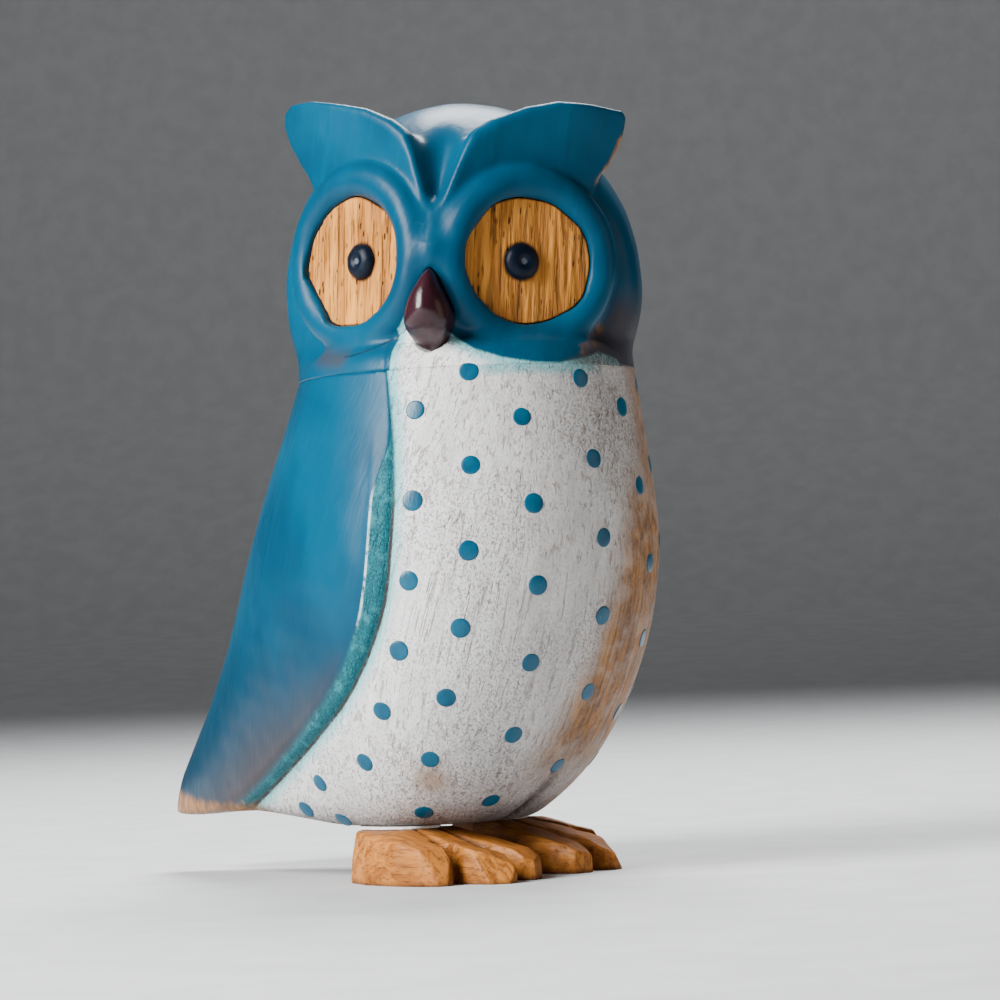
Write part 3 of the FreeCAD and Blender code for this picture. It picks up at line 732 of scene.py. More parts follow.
# ------------------------------------------------------------------ body
@dataclass
class Body:
    """Belly, wings, back and tail, carved from one block.

    Levels are shares of the body's height, with the half width, front, back and middle
    of the outline as shares of the figure's own sizes, and the exponent of its rear half.
    """

    figure: Figure
    step: float = 0.64
    levels: tuple[tuple[float, ...], ...] = (
        (0.000, 0.53, 0.17, 1.000, 0.22, 1.50, 1.00),
        (0.062, 0.66, 0.38, 0.985, 0.15, 1.50, 1.00),
        (0.155, 0.79, 0.60, 0.930, 0.08, 1.50, 1.00),
        (0.290, 0.92, 0.79, 0.835, 0.03, 1.50, 1.00),
        (0.456, 0.985, 0.94, 0.735, 0.0, 1.54, 1.00),
        (0.643, 1.00, 1.00, 0.635, 0.0, 1.62, 0.85),
        (0.850, 0.93, 0.965, 0.510, 0.0, 1.80, 0.45),
        (1.000, 0.858, 0.933, 0.420, 0.0, 2.0, 0.20),
    )
    wing_edge: Outline = (
        (-3.0, 108.0), (-5.5, 98.0), (-8.0, 87.0), (-9.0, 76.0), (-8.6, 65.0), (-6.5, 53.5),
        (-2.2, 44.2), (4.4, 36.4), (14.7, 29.4), (28.8, 21.7), (41.0, 15.8), (56.0, 10.0),
    )
    relief: float = 1.4
    bevel: float = 3.7
    groove: float = 0.5
    tail_lift: float = 1.4
    table_step: float = 0.5

    def __post_init__(self) -> None:
        """Tabulates the wing edge's distance over the side view."""
        f = self.figure
        ys = np.arange(-f.front - 8.0, f.tail + 8.0, self.table_step)
        zs = np.arange(f.base - 6.0, f.crown + 4.0, self.table_step)
        self.corner = ys[0], zs[0]
        grid_y, grid_z = np.meshgrid(ys, zs, indexing="ij")
        self.table = self.edge_distance(grid_y.ravel(), grid_z.ravel()).reshape(grid_y.shape)

    def level(self, z: Array) -> tuple[Array, ...]:
        """Outline of the body at some heights: half width, front, back, middle, exponent, relief."""
        f = self.figure
        table = np.array(self.levels)
        knots = f.base + (f.neck - f.base) * table[:, 0]
        fine = np.linspace(knots[0], knots[-1], 400)
        half = f.half_width - self.relief * 0.85
        sizes = (half, f.front, f.tail - self.relief, f.front, 1.0, self.relief)
        return tuple(
            np.interp(z, fine, natural_spline(knots, table[:, i + 1] * size, fine))
            for i, size in enumerate(sizes)
        )

    def edge_distance(self, y: Array, z: Array) -> Array:
        """Millimetres behind the wing's front edge in side view, below zero on the belly."""
        curve = np.array(self.wing_edge)
        along = np.r_[0.0, np.cumsum(np.hypot(*np.diff(curve, axis=0).T))]
        fine = np.linspace(0.0, along[-1], 90)
        ys, zs = (natural_spline(along, curve[:, i], fine) for i in (0, 1))
        best = np.full(y.shape, 1e9)
        sign = np.ones(y.shape)
        for i in range(len(fine) - 1):
            dy, dz = ys[i + 1] - ys[i], zs[i + 1] - zs[i]
            t = np.clip(((y - ys[i]) * dy + (z - zs[i]) * dz) / (dy * dy + dz * dz), 0.0, 1.0)
            away = (y - ys[i] - t * dy) ** 2 + (z - zs[i] - t * dz) ** 2
            nearer = away < best
            best = np.where(nearer, away, best)
            turn = dy * (z - zs[i]) - dz * (y - ys[i])
            sign = np.where(nearer, np.where(turn > 0.0, 1.0, -1.0), sign)
        return sign * np.sqrt(best)

    def wings(self, points: Array) -> Array:
        """The wing edge's distance, looked up from a side-view table."""
        t = self.table
        u = np.clip((points[:, 1] - self.corner[0]) / self.table_step, 0.0, t.shape[0] - 1.001)
        v = np.clip((points[:, 2] - self.corner[1]) / self.table_step, 0.0, t.shape[1] - 1.001)
        i, j = u.astype(int), v.astype(int)
        a, b = u - i, v - j
        return ((1 - a) * (1 - b) * t[i, j] + a * (1 - b) * t[i + 1, j]
                + (1 - a) * b * t[i, j + 1] + a * b * t[i + 1, j + 1])

    def bevel_at(self, z: Array) -> Array:
        """Width of the wing's bevelled edge, which runs out towards the neck and the tail."""
        f = self.figure
        return (0.5 + 2.8 * step_up(z, f.base + 2.0, f.base + 52.0)) * step_up(z, 86.0, 72.0) + 0.5

    def outline(self, points: Array, z: Array) -> Array:
        """Distance across the outline at heights z, with no top or bottom."""
        half, front, back, middle, power, relief = self.level(z)
        x, y = points[:, 0], points[:, 1] - middle
        behind = y > 0.0
        reach = np.where(behind, back - middle, front + middle)
        power = np.where(behind, power, 2.0)
        u = np.sqrt((x / half) ** 2 + 0.0012)
        v = np.abs(y) / reach
        size = (u ** power + v ** power) ** (1.0 / power)
        slope = size ** (1.0 - power) * np.hypot(u ** (power - 1.0) / half, v ** (power - 1.0) / reach)
        away = (size - 1.0) / np.maximum(slope, 1e-4)
        edge = self.wings(points)
        rise = step_up(edge, 0.0, 1.0) * 0.35 + 0.65 * np.clip(edge / self.bevel_at(points[:, 2]), 0.0, 1.0)
        carved = step_up(points[:, 2], 88.0, 74.0)
        dip = self.groove * np.exp(-(edge / 0.9) ** 2) * carved
        crest = 0.18 * np.exp(-((edge - self.bevel) / 0.9) ** 2) * carved
        return away - relief * rise + dip - crest

    def block(self, points: Array) -> Array:
        """Signed distance of the carved body before its neck is sawn flat."""
        f = self.figure
        z = points[:, 2]
        away = self.outline(points, z)
        away = away + 0.16 * unevenness(points, 22.0, 3) + 0.05 * unevenness(points, 7.0, 4)
        lift = np.clip((points[:, 1] - 20.0) / (f.tail - 20.0), 0.0, 1.0) * self.tail_lift
        arch = 2.0 * np.exp(-((points[:, 1] - 45.0) / 17.0) ** 2) * step_up(points[:, 1], 12.0, 30.0)
        away = smooth_max(away, f.base + lift + arch - z, 2.0 - 1.2 * step_up(points[:, 1], 50.0, 74.0))
        notch = np.abs(points[:, 0]) * 1.1 - 1.5 + 0.34 * np.maximum(0.0, z - f.base)
        notch = np.maximum(notch, points[:, 1] - 1.0)
        return smooth_max(away, -notch, 1.6)

    def solid(self, points: Array) -> Array:
        """Signed distance of the carved body, sawn off at the neck and drilled."""
        f = self.figure
        away = np.maximum(self.block(points), points[:, 2] - f.neck)
        for side in Side:
            hub = f.hubs[side]
            away = np.maximum(away, -upright_hole(points, hub[0], hub[1], FOOT_HOLE_RADIUS, 0.0, 22.5))
        hole = upright_hole(points, 0.0, 0.0, NECK_HOLE_RADIUS, f.neck - NECK_HOLE_DEPTH, f.neck + 9.0)
        return np.maximum(away, -hole)

    def marks(self, points: Array) -> dict[str, Array]:
        """Where the paint's edge and its wear are, and where shade and warm light are painted on."""
        f = self.figure
        x, y, z = points.T
        edge = self.wings(points)
        bevel = self.bevel_at(z)
        round_angle = np.degrees(np.arctan2(x, -y))
        front = step_up(edge, 1.0, -1.0)
        # Painted warm light: the belly's far side turns golden brown, less so further round.
        tan = step_up(x + 0.22 * (69.0 - z), -4.0, 7.0) * step_up(z, 11.0, 28.0) * step_up(z, 88.0, 66.0)
        far_side = 1.0 - 0.55 * step_up(round_angle, 32.0, 62.0)
        tan = np.maximum(tan, 0.9 * step_up(x, 3.0, 14.0)) * front * far_side
        # Brown-grey rubbing low on the wing, and the wing's front darker towards the bottom.
        cloud = step_up(z - 37.0 + 0.47 * (y - 16.0), 6.0, -12.0) * step_up(edge, bevel - 0.5, bevel + 2.5)
        haze = 0.85 * cloud + 0.10 * step_up(edge, -1.0, 3.0) * step_up(z, 46.0, 20.0)
        lip = step_up(z - 0.12 * (y - 60.0) * (y > 60.0), f.base + 6.2, f.base + 2.4) * step_up(y, 34.0, 46.0)
        # Whitewash darker towards the bottom of the belly.
        hem = 0.45 * step_up(z, f.base + 6.0, f.base + 0.8)
        hem = (hem + 0.22 * step_up(z, f.base + 26.0, f.base + 3.0)) * front
        worn = 0.85 * spot(points, (-23.5, -6.0, 20.0), 3.6) + 0.6 * spot(points, (-18.0, -15.0, 15.5), 3.0)
        ridge = np.exp(-(x / 0.8) ** 2) * step_up(y, 30.0, 40.0)
        ridge = ridge * step_up(z, 44.0, 52.0) * step_up(z, 80.0, 66.0)
        # Painted shade in the notch between the legs and along the base.
        notch = np.exp(-(x / 1.8) ** 2) * step_up(z, 27.0, 15.0) * step_up(y, 0.0, -6.0)
        grime = np.maximum(0.85 * notch, 0.5 * step_up(z, f.base + 2.6, f.base))
        under_ring = step_up(z, f.neck - 3.4, f.neck - 0.4) * step_up(np.abs(round_angle + 27.0), 32.0, 14.0)
        wing = np.maximum(edge, -3.6 + 3.0 * under_ring)
        # Painted shade on the upper body's far side, and a lighter painted shade across the middle of the
        # belly.
        shade = 0.55 * step_up(z, 52.0, 84.0) * step_up(round_angle, -30.0, 2.0)
        middle = 0.30 * step_up(round_angle, -86.0, -28.0) * step_up(round_angle, 60.0, 20.0)
        shade = np.maximum(shade, middle)
        return paint_marks(
            len(z), wing=wing, bevel=bevel, soft=1.0 + 3.0 * step_up(z, 56.0, 30.0), grime=grime,
            carved=step_up(z, 80.0, 68.0), crest=step_up(z, 46.0, 54.0) * step_up(z, 77.0, 71.0),
            bare=np.clip(0.7 * ridge + 0.95 * lip, 0.0, 1.0), tan=np.clip(tan + worn, 0.0, 1.0),
            haze=np.clip(haze + hem + shade * front, 0.0, 0.9),
        )

    def build(self, shop: Workshop, paint: bpy.types.Material) -> bpy.types.Object:
        """Carves, paints and places the body."""
        f = self.figure
        deep = math.ceil((f.neck - f.base) / self.step) + 2.5
        low = (-f.half_width - 2.0, -f.front - 2.0, f.neck - deep * self.step)
        high = (f.half_width + 2.0, f.tail + 2.0, f.neck + 1.5)
        skin = Skin.over(self.solid, low, high, self.step)
        skin.sharpen_cut(f.neck, self.block, self.step)
        return shop.mesh_piece("carved_body", skin, paint, ("body",), self.marks(skin.points))


# ------------------------------------------------------------------ head
@dataclass
class HeadPose:
    """Turns points from the figure to the head's own frame, whose face looks along -Y."""

    figure: Figure
    skull_up: float = 17.2
    splay: float = math.radians(34.0)

    def __post_init__(self) -> None:
        """Reads the head's turn and lean from where its eyes are."""
        across = self.figure.eyes[Side.LEFT] - self.figure.eyes[Side.RIGHT]
        across /= np.linalg.norm(across)
        back = np.cross((0.0, 0.0, 1.0), across)
        back /= np.linalg.norm(back)
        self.turn = np.stack([across, back, np.cross(across, back)])
        self.pivot = np.array([0.0, 0.0, self.figure.neck + self.skull_up])
        disc = self.own(np.array([self.figure.eyes[Side.LEFT]]))[0]
        normal = np.array([math.sin(self.splay), -math.cos(self.splay), 0.0])
        self.eye = disc + 1.5 * normal

    def own(self, points: Array) -> Array:
        """Figure points in the head's own frame."""
        return (points - self.pivot) @ self.turn.T + self.pivot

    def figure_points(self, own: Array) -> Array:
        """Points of the head's own frame back in the figure's."""
        return (own - self.pivot) @ self.turn + self.pivot

    def eye_axes(self, side: Side) -> tuple[Array, Array, Array, Array]:
        """Centre of the disc's face, and the directions outward, up and out of the eye."""
        s = side.value
        centre = self.eye * np.array([s, 1.0, 1.0])
        outward = np.array([s * math.cos(self.splay), math.sin(self.splay), 0.0])
        normal = np.array([s * math.sin(self.splay), -math.cos(self.splay), 0.0])
        return centre, outward, np.array([0.0, 0.0, 1.0]), normal

    def in_eye(self, own: Array, side: Side) -> tuple[Array, Array, Array]:
        """How far points lie outward, up and out from the middle of a disc's face."""
        centre, outward, up, normal = self.eye_axes(side)
        away = own - centre
        return away @ outward, away @ up, away @ normal

    def from_eye(self, local: Array, side: Side) -> Array:
        """Figure points, from columns outward, up and out of the eye."""
        centre, outward, up, normal = self.eye_axes(side)
        own = centre + local @ np.stack([outward, up, normal])
        return self.figure_points(own)


@dataclass(frozen=True)
class EyeCut:
    """Hand-cut shape of one eye, in millimetres outward and up from its middle."""

    disc_middle: tuple[float, float]
    disc_radii: tuple[float, float]
    chord: tuple[float, float]
    ring_middle: tuple[float, float]
    ring_radii: tuple[float, float]
    peg_middle: tuple[float, float]
    seed: int

    def edge(self, angle: Array) -> Array:
        """Radius of the disc towards each angle from its middle."""
        rng = np.random.default_rng(self.seed)
        across, up = self.disc_radii
        radius = 1.0 / np.hypot(np.cos(angle) / across, np.sin(angle) / up)
        for waves, size in ((3, 0.12), (5, 0.14), (7, 0.12), (11, 0.06)):
            radius += size * np.cos(waves * angle + rng.uniform(0.0, math.tau))
        facing = np.cos(angle - math.radians(self.chord[0]))
        return np.where(facing > 0.5, np.minimum(radius, self.chord[1] / np.maximum(facing, 0.5)), radius)

    def from_disc(self, a: Array, b: Array, spare: float) -> Array:
        """Distance past the disc's edge, which is grown by a little spare."""
        a, b = a - self.disc_middle[0], b - self.disc_middle[1]
        return np.hypot(a, b) - self.edge(np.arctan2(b, a)) - spare

    def from_ring(self, a: Array, b: Array) -> Array:
        """Distance outside the middle line of the ring's tube."""
        a, b = a - self.ring_middle[0], b - self.ring_middle[1]
        stretch = self.ring_radii[0] / self.ring_radii[1]
        return np.hypot(a, b * stretch) - self.ring_radii[0]


EYES = {
    Side.RIGHT: EyeCut((0.6, 0.1), (12.5, 12.3), (-37.0, 11.4), (0.2, 0.9), (14.9, 15.0), (-1.5, 0.2), 12),
    Side.LEFT: EyeCut((-0.1, 0.5), (13.0, 11.9), (229.0, 12.1), (0.4, 0.6), (15.1, 14.8), (-1.2, 0.35), 11),
}


@dataclass
class Beak:
    """Hardwood beak: leaf-shaped from the front, ridged, flat on its back."""

    pose: HeadPose
    length: float = 16.0
    width: float = 9.0
    depth: float = 9.0
    seat: float = 28.0
    above_neck: float = 2.9
    step: float = 0.22

    @property
    def low(self) -> float:
        """Height of the lower tip."""
        return self.pose.figure.neck + self.above_neck

    def leaf(self, own: Array) -> Array:
        """Distance across the leaf outline, below zero inside."""
        t = np.clip((own[:, 2] - self.low) / self.length, -0.2, 1.2)
        knots = np.array([-0.2, 0.0, 0.06, 0.18, 0.36, 0.60, 0.82, 0.96, 1.0, 1.2])
        halves = np.array([-1.2, 0.0, 0.42, 0.78, 1.0, 0.80, 0.42, 0.14, 0.0, -1.0])
        half = natural_spline(knots, halves, t) * self.width / 2.0
        return (np.abs(own[:, 0]) - half) * 0.85

    def solid(self, points: Array) -> Array:
        """Signed distance of the beak."""
        own = self.pose.own(points)
        x, y, z = own.T
        t = (z - self.low) / self.length
        ridge = self.depth * np.sqrt(np.clip(1.0 - ((t - 0.42) / 0.64) ** 2, 0.0, 1.0))
        forward = -self.seat - y
        crest = (forward - ridge) * 0.8 + 0.125 * x * x + 0.10 * np.sqrt(x * x + 0.3)
        away = smooth_max(self.leaf(own), crest, 1.6)
        under = (forward - 2.2) * 0.55 - (z - self.low - 1.2) * 0.80
        away = smooth_max(away, under, 2.2)
        away = smooth_max(away, -forward, 0.1)
        pin = np.hypot(x, z - self.low - self.length * 0.45) - 1.35
        away = np.maximum(away, -np.maximum(pin, forward - 5.0))
        return away + 0.05 * unevenness(points, 5.0, 21)

    def build(self, shop: Workshop, lacquer: bpy.types.Material) -> bpy.types.Object:
        """Carves, finishes and places the beak."""
        box = node_box("beak") - self.pose.figure.axis
        skin = Skin.over(self.solid, box[0] - 1.0, box[1] + 1.0, self.step)
        own = self.pose.own(skin.points)
        t = (own[:, 2] - self.low) / self.length
        forward = -self.seat - own[:, 1]
        # Rubbed lower tip, and a painted highlight down the front of the ridge.
        rub = 0.42 * step_up(t, 0.16, 0.02) + 0.12 * step_up(forward, 7.0, 8.6)
        return shop.mesh_piece("carved_beak", skin, lacquer, ("beak",), {"rub": rub})


@dataclass
class Head:
    """Skull, brows with ear tufts, eye rings and chin, carved from one block."""

    pose: HeadPose
    body: Body
    beak: Beak
    step: float = 0.5
    skull: Triple = (35.0, 32.0, 36.0)
    tube: float = 3.5
    ring_sink: float = 1.6
    brow: Outline = (
        (-12.0, 2.0), (-19.0, 2.0), (-18.6, 7.0), (-17.8, 11.5), (-16.6, 16.0), (-14.6, 20.6), (-11.8, 24.3),
        (-7.4, 27.2), (-0.9, 29.8),
    )
    ear: dict[Side, Outline] = field(default_factory=lambda: {
        Side.LEFT: ((5.9, 31.2), (12.8, 31.1), (19.4, 30.4), (20.4, 29.2), (20.1, 26.3), (19.2, 23.0),
                    (17.7, 19.8), (14.8, 16.6), (12.0, 12.0), (0.0, 4.0)),
        Side.RIGHT: ((5.2, 31.0), (13.3, 32.0), (20.2, 31.8), (22.6, 30.4), (23.4, 27.8), (22.0, 23.6),
                     (19.3, 20.0), (16.0, 16.4), (12.0, 12.0), (0.0, 4.0)),
    })

    def brow_outline(self, side: Side) -> Array:
        """Outline of one brow with its ear tuft."""
        return np.array(self.brow + self.ear[side])

    def brow_solid(self, a: Array, b: Array, c: Array, side: Side) -> Array:
        """Distance of one brow blade, from places outward, up and out of its eye."""
        away = np.full(a.shape, 12.0)
        near = (b > -2.0) & (np.abs(c + 5.0) < 13.0) & (np.abs(a) < 32.0)
        a, b, c = a[near], b[near], c[near]
        plan = outline_distance(a, b, self.brow_outline(side))
        face = -1.3 + 0.008 * np.maximum(b - 15.0, 0.0) ** 2 - 0.08 * np.maximum(a - 8.0, 0.0)
        thick = np.interp(b, (6.0, 14.0, 22.0, 28.0, 31.0), (11.0, 8.5, 4.8, 3.0, 2.6))
        slab = np.abs(c - face + thick / 2.0) - thick / 2.0
        away[near] = smooth_max(plan, slab, np.interp(a, (-18.0, 0.0, 14.0), (3.2, 2.0, 1.1)))
        return away

    def bridge(self, own: Array) -> Array:
        """Distance of the broad bridge that rises from the beak into the crown."""
        z = own[:, 2]
        forward = 23.6 + 3.0 * step_up(z, 109.0, 118.0) - 0.75 * np.maximum(z - 120.0, 0.0)
        bar = np.hypot(own[:, 0] / 1.35, own[:, 1] + forward) - 4.2
        return smooth_max(bar, np.abs(z - 117.0) - 13.0, 4.0)

    def valley(self, own: Array) -> Array:
        """Distance to the valley between the brows, below zero in it."""
        above = own[:, 2] - 127.0
        climb = np.clip(above, 0.0, 20.0)
        half, deep = 0.9 + 0.39 * climb, 4.5 + 0.46 * climb
        channel = (np.hypot(own[:, 0] / half, (own[:, 1] + 31.0) / deep) - 1.0) * half
        return smooth_max(channel, -above, 4.0)

    def block(self, points: Array) -> Array:
        """Signed distance of the carved head before its neck is sawn flat."""
        f = self.pose.figure
        own = self.pose.own(points)
        radius = np.array(self.skull)
        scaled = (own - self.pose.pivot) / radius
        size = np.linalg.norm(scaled, axis=1)
        skull = size * (size - 1.0) / np.maximum(np.linalg.norm(scaled / radius, axis=1), 1e-4)
        brows, rings = np.full(len(own), 20.0), np.full(len(own), 20.0)
        pockets = np.full(len(own), -20.0)
        for side in Side:
            cut = EYES[side]
            a, b, c = self.pose.in_eye(own, side)
            skull = smooth_max(skull, c + self.ring_sink + 0.8, 3.0)
            brows = smooth_min(brows, self.brow_solid(a, b, c, side), 1.2)
            around = cut.from_ring(a, b)
            ring = np.hypot(around, c + self.ring_sink) - self.tube
            back = np.maximum(around - 1.5, np.abs(c + self.ring_sink + 5.0) - 5.0)
            rings = np.minimum(rings, smooth_min(ring, back, 1.5))
            hollow = np.maximum(cut.from_disc(a, b, 0.14), -3.0 - c)
            shank = np.hypot(a - cut.peg_middle[0], b - cut.peg_middle[1]) - 2.2
            pockets = np.maximum(pockets, -np.minimum(hollow, np.maximum(shank, -7.8 - c)))
        away = smooth_min(skull, brows, 2.4)
        away = smooth_min(away, self.bridge(own), 4.5)
        away = smooth_max(away, -self.valley(own), 1.4)
        away = smooth_min(away, rings, 1.3)
        stub = self.body.outline(points, np.full(len(points), f.neck))
        above = points[:, 2] - f.neck
        stub = smooth_max(stub + 0.08 * np.maximum(above, 0.0) ** 1.5, above - 6.0, 6.0)
        away = smooth_min(away, stub, 2.4)
        knife = 0.16 * unevenness(points, 18.0, 8) + 0.05 * unevenness(points, 6.0, 9)
        away = away + knife * step_up(above, 0.0, 5.0)
        away = np.maximum(away, pockets)
        leaf = np.maximum(self.beak.leaf(own) - 0.15, own[:, 1] + self.beak.seat)
        return np.maximum(away, -leaf)

    def solid(self, points: Array) -> Array:
        """Signed distance of the carved head, sawn off at the neck and drilled."""
        f = self.pose.figure
        away = np.maximum(self.block(points), f.neck - points[:, 2])
        hole = upright_hole(points, 0.0, 0.0, NECK_HOLE_RADIUS, f.neck - 9.0, f.neck + NECK_HOLE_DEPTH)
        return np.maximum(away, -hole)

    def chin_line(self, points: Array) -> Array:
        """Millimetres above or behind the edge of the white chin."""
        f = self.pose.figure
        turn = np.degrees(np.arctan2(points[:, 0], -points[:, 1]))
        angles = (-90.0, -78.0, -74.0, -64.0, -57.0, -49.0, -40.0, -30.0, -20.0, -10.0, -2.0, 8.0, 14.0)
        rises = (6.0, 8.0, 10.5, 10.5, 6.2, 3.0, 1.2, 0.2, 0.0, 1.0, 2.2, 1.0, -3.0)
        return np.maximum(points[:, 2] - f.neck - np.interp(turn, angles, rises), (-78.5 - turn) * 0.58)

    def marks(self, points: Array) -> dict[str, Array]:
        """Where the lacquer ends at the chin, where it is rubbed, and where shade and highlights are painted
        on.
        """
        own = self.pose.own(points)
        bare, chalk = np.zeros(len(points)), np.zeros(len(points))
        haze, grime = np.zeros(len(points)), np.zeros(len(points))
        crack = np.full(len(points), 9.0)
        for side in Side:
            a, b, c = self.pose.in_eye(own, side)
            around = EYES[side].from_ring(a, b)
            angle = np.degrees(np.arctan2(b, a))
            flank = np.exp(-((around - 4.6) / 2.0) ** 2)
            plan = outline_distance(a, b, self.brow_outline(side))
            rim = np.exp(-(np.abs(plan) / 0.8) ** 2) * (c < 2.5) * (c > -9.0)
            outer_rim = rim * step_up(a, 13.5, 16.5) * step_up(b, 27.5, 25.0)
            inner_rim = rim * step_up(a, -2.0, -12.0) * step_up(b, 8.0, 14.0) * step_up(c, -4.0, -1.5)
            if side is Side.LEFT:
                bare = np.maximum(bare, 0.52 * flank * step_up(np.abs(angle + 47.0), 24.0, 8.0))
                bare = np.maximum(bare, 0.95 * outer_rim * (c < -1.2))
                # Painted shade on the unlit flank beside and below this ring.
                beside = step_up(around, 3.5, 6.0) * step_up(b, 0.0, -10.0) * step_up(a, 2.0, 9.0)
                haze = np.maximum(haze, 0.85 * beside * step_up(c, -30.0, -14.0))
            else:
                haze = np.maximum(haze, 0.70 * flank * step_up(np.abs(angle + 80.0), 22.0, 12.0))
                ring_side = step_up(np.abs(angle + 118.0), 30.0, 24.0)
                crack = np.minimum(crack, np.abs(around - 4.2) + 3.0 * (1.0 - ring_side))
            # Whitish rubbing and a painted highlight along the brows' inner edges.
            chalk = np.maximum(chalk, 0.30 * inner_rim)
            # Painted shadow in the gap round the eye disc.
            gap = step_up(EYES[side].from_disc(a, b, 0.0), 0.9, 0.3) * step_up(c, 0.4, -0.6)
            grime = np.maximum(grime, 0.65 * gap)
        behind = step_up(points[:, 1], -10.0, 4.0)
        wing = np.where(points[:, 0] < 0.0, self.chin_line(points) + 12.0 * behind * (points[:, 1] > 6.0),
                        np.maximum(self.chin_line(points), 0.0))
        # Painted highlight on the middle of the bridge.
        chalk = np.maximum(chalk, 0.20 * spot(own, (0.0, -29.5, 122.0), 5.5))
        return paint_marks(
            len(points), wing=np.clip(wing, -6.0, 9.0), bare=np.clip(bare, 0.0, 1.0),
            haze=np.clip(haze, 0.0, 0.9), grime=grime, chalk=chalk, crack=crack,
        )

    def build(self, shop: Workshop, paint: bpy.types.Material) -> bpy.types.Object:
        """Carves, paints and places the head."""
        box = node_box("head") - self.pose.figure.axis
        low, high = box[0] - 3.0, box[1] + 2.0
        low[2] = self.pose.figure.neck - 2.5 * self.step
        skin = Skin.over(self.solid, low, high, self.step)
        skin.sharpen_cut(self.pose.figure.neck, self.block, self.step)
        return shop.mesh_piece("carved_head", skin, paint, ("head",), self.marks(skin.points))


# ------------------------------------------------------------------ eyes
PEG_DOME: Outline = (
    (0.001, 1.25), (0.45, 1.27), (0.85, 1.40), (1.20, 1.56), (1.55, 1.62), (1.95, 1.56), (2.4, 1.38),
    (2.9, 1.10), (3.2, 0.80), (3.42, 0.45), (3.52, 0.10), (3.48, -0.15),
)


@dataclass
class Eye:
    """One disc of coarse wood and the domed peg in it."""

    pose: HeadPose
    side: Side
    thickness: float = 3.0
    peg_radius: float = 3.4
    shank: tuple[float, float] = (1.5, 7.0)

    def disc_face(self, a: Array, b: Array) -> Array:
        """Height of the disc's coarse face: combed by its open grain."""
        seed = 31 if self.side is Side.LEFT else 32
        here = np.stack([a, b * 0.10, np.zeros(len(a))], 1)
        comb = unevenness(here, 1.7, seed) + 0.6 * unevenness(here, 0.8, seed + 5)
        tilt = 0.028 * a
        return -0.10 + 0.13 * comb + tilt

    def disc(self) -> tuple[Skin, Array]:
        """Skin of the disc in the eye's own frame, and its outline's closeness."""
        rings, spokes = 46, 168
        angle = np.linspace(0.0, math.tau, spokes, endpoint=False)
        cut = EYES[self.side]
        edge = cut.edge(angle)
        share = np.r_[np.linspace(0.12, 0.985, rings), 1.0]
        rows = []
        for s in share:
            a = cut.disc_middle[0] + s * edge * np.cos(angle)
            b = cut.disc_middle[1] + s * edge * np.sin(angle)
            drop = 0.25 if s == 1.0 else 0.0
            rows.append(np.stack([a, b, self.disc_face(a, b) - drop], 1))
        last = rows[-1].copy()
        last[:, 2] = -self.thickness
        inner = rows[0].copy()
        inner[:, 2] = -self.thickness
        rows = [inner] + rows + [last]
        points = np.concatenate(rows)
        a, b = points[:, 0] - cut.disc_middle[0], points[:, 1] - cut.disc_middle[1]
        return Skin(points, ring_faces(len(rows), spokes, True)), np.hypot(a, b) / cut.edge(np.arctan2(b, a))

    def build(self, shop: Workshop, wood: bpy.types.Material, lacquer: bpy.types.Material) -> None:
        """Makes and places the disc and its peg."""
        name = self.side.label
        skin, closeness = self.disc()
        local = skin.points.copy()
        skin.points = self.pose.from_eye(local, self.side)
        self.face_out(skin)
        grain = np.stack([local[:, 0], local[:, 2], local[:, 1]], 1) * MM
        grain[:, 0] += (0.05 if self.side is Side.LEFT else 0.11)
        # Painted shadow: a dark crescent on one side of the disc, a dark edge round it and a dark ring round
        # the peg.
        grime = 0.75 * step_up(closeness, 0.965, 1.0) * (local[:, 0] < 3.0)
        grime = grime + 0.4 * step_up(closeness, 0.985, 1.0)
        peg = EYES[self.side].peg_middle
        peg_away = np.hypot(local[:, 0] - peg[0], local[:, 1] - peg[1])
        grime = np.maximum(grime, 0.8 * step_up(peg_away, self.peg_radius + 0.7, self.peg_radius + 0.1))
        shop.mesh_piece(f"wooden_eye_{name}", skin, wood, (f"eye_disc_{name}",),
                        {"grain": grain, "grime": np.clip(grime, 0.0, 1.0)})
        self.build_peg(shop, lacquer)

    def face_out(self, skin: Skin) -> None:
        """Turns the faces of a right-hand piece, whose frame is mirrored."""
        if self.side is Side.RIGHT:
            skin.faces = skin.faces[:, ::-1]

    def build_peg(self, shop: Workshop, lacquer: bpy.types.Material) -> None:
        """Makes and places the domed peg with its shank."""
        radius, length = self.shank
        peg = EYES[self.side].peg_middle
        profile = (*PEG_DOME, (radius, -0.2), (radius, -length), (0.001, -length))
        spokes = 56
        angle = np.linspace(0.0, math.tau, spokes, endpoint=False)
        corners = 7 if self.side is Side.RIGHT else 11
        depth = 0.035 if self.side is Side.RIGHT else 0.012
        cut = 1.0 - depth * (0.5 + 0.5 * np.cos(corners * angle + 0.6))
        rows = []
        for r, h in profile:
            shape = cut if r > 1.8 else 1.0
            rows.append(np.stack([peg[0] + r * shape * np.cos(angle), peg[1] + r * shape * np.sin(angle),
                                  np.full(spokes, h)], 1))
        points = np.concatenate(rows)
        away = np.hypot(points[:, 0] - peg[0], points[:, 1] - peg[1])
        # Rubbed centre of the dome, lightened partly as a painted highlight.
        rub = 0.75 * step_up(away, 1.05, 0.45) * (points[:, 2] > 0.5)
        skin = Skin(self.pose.from_eye(points, self.side), ring_faces(len(rows), spokes, False))
        self.face_out(skin)
        name = self.side.label
        shop.mesh_piece(f"peg_pupil_{name}", skin, lacquer, (f"pupil_{name}",), {"rub": rub})


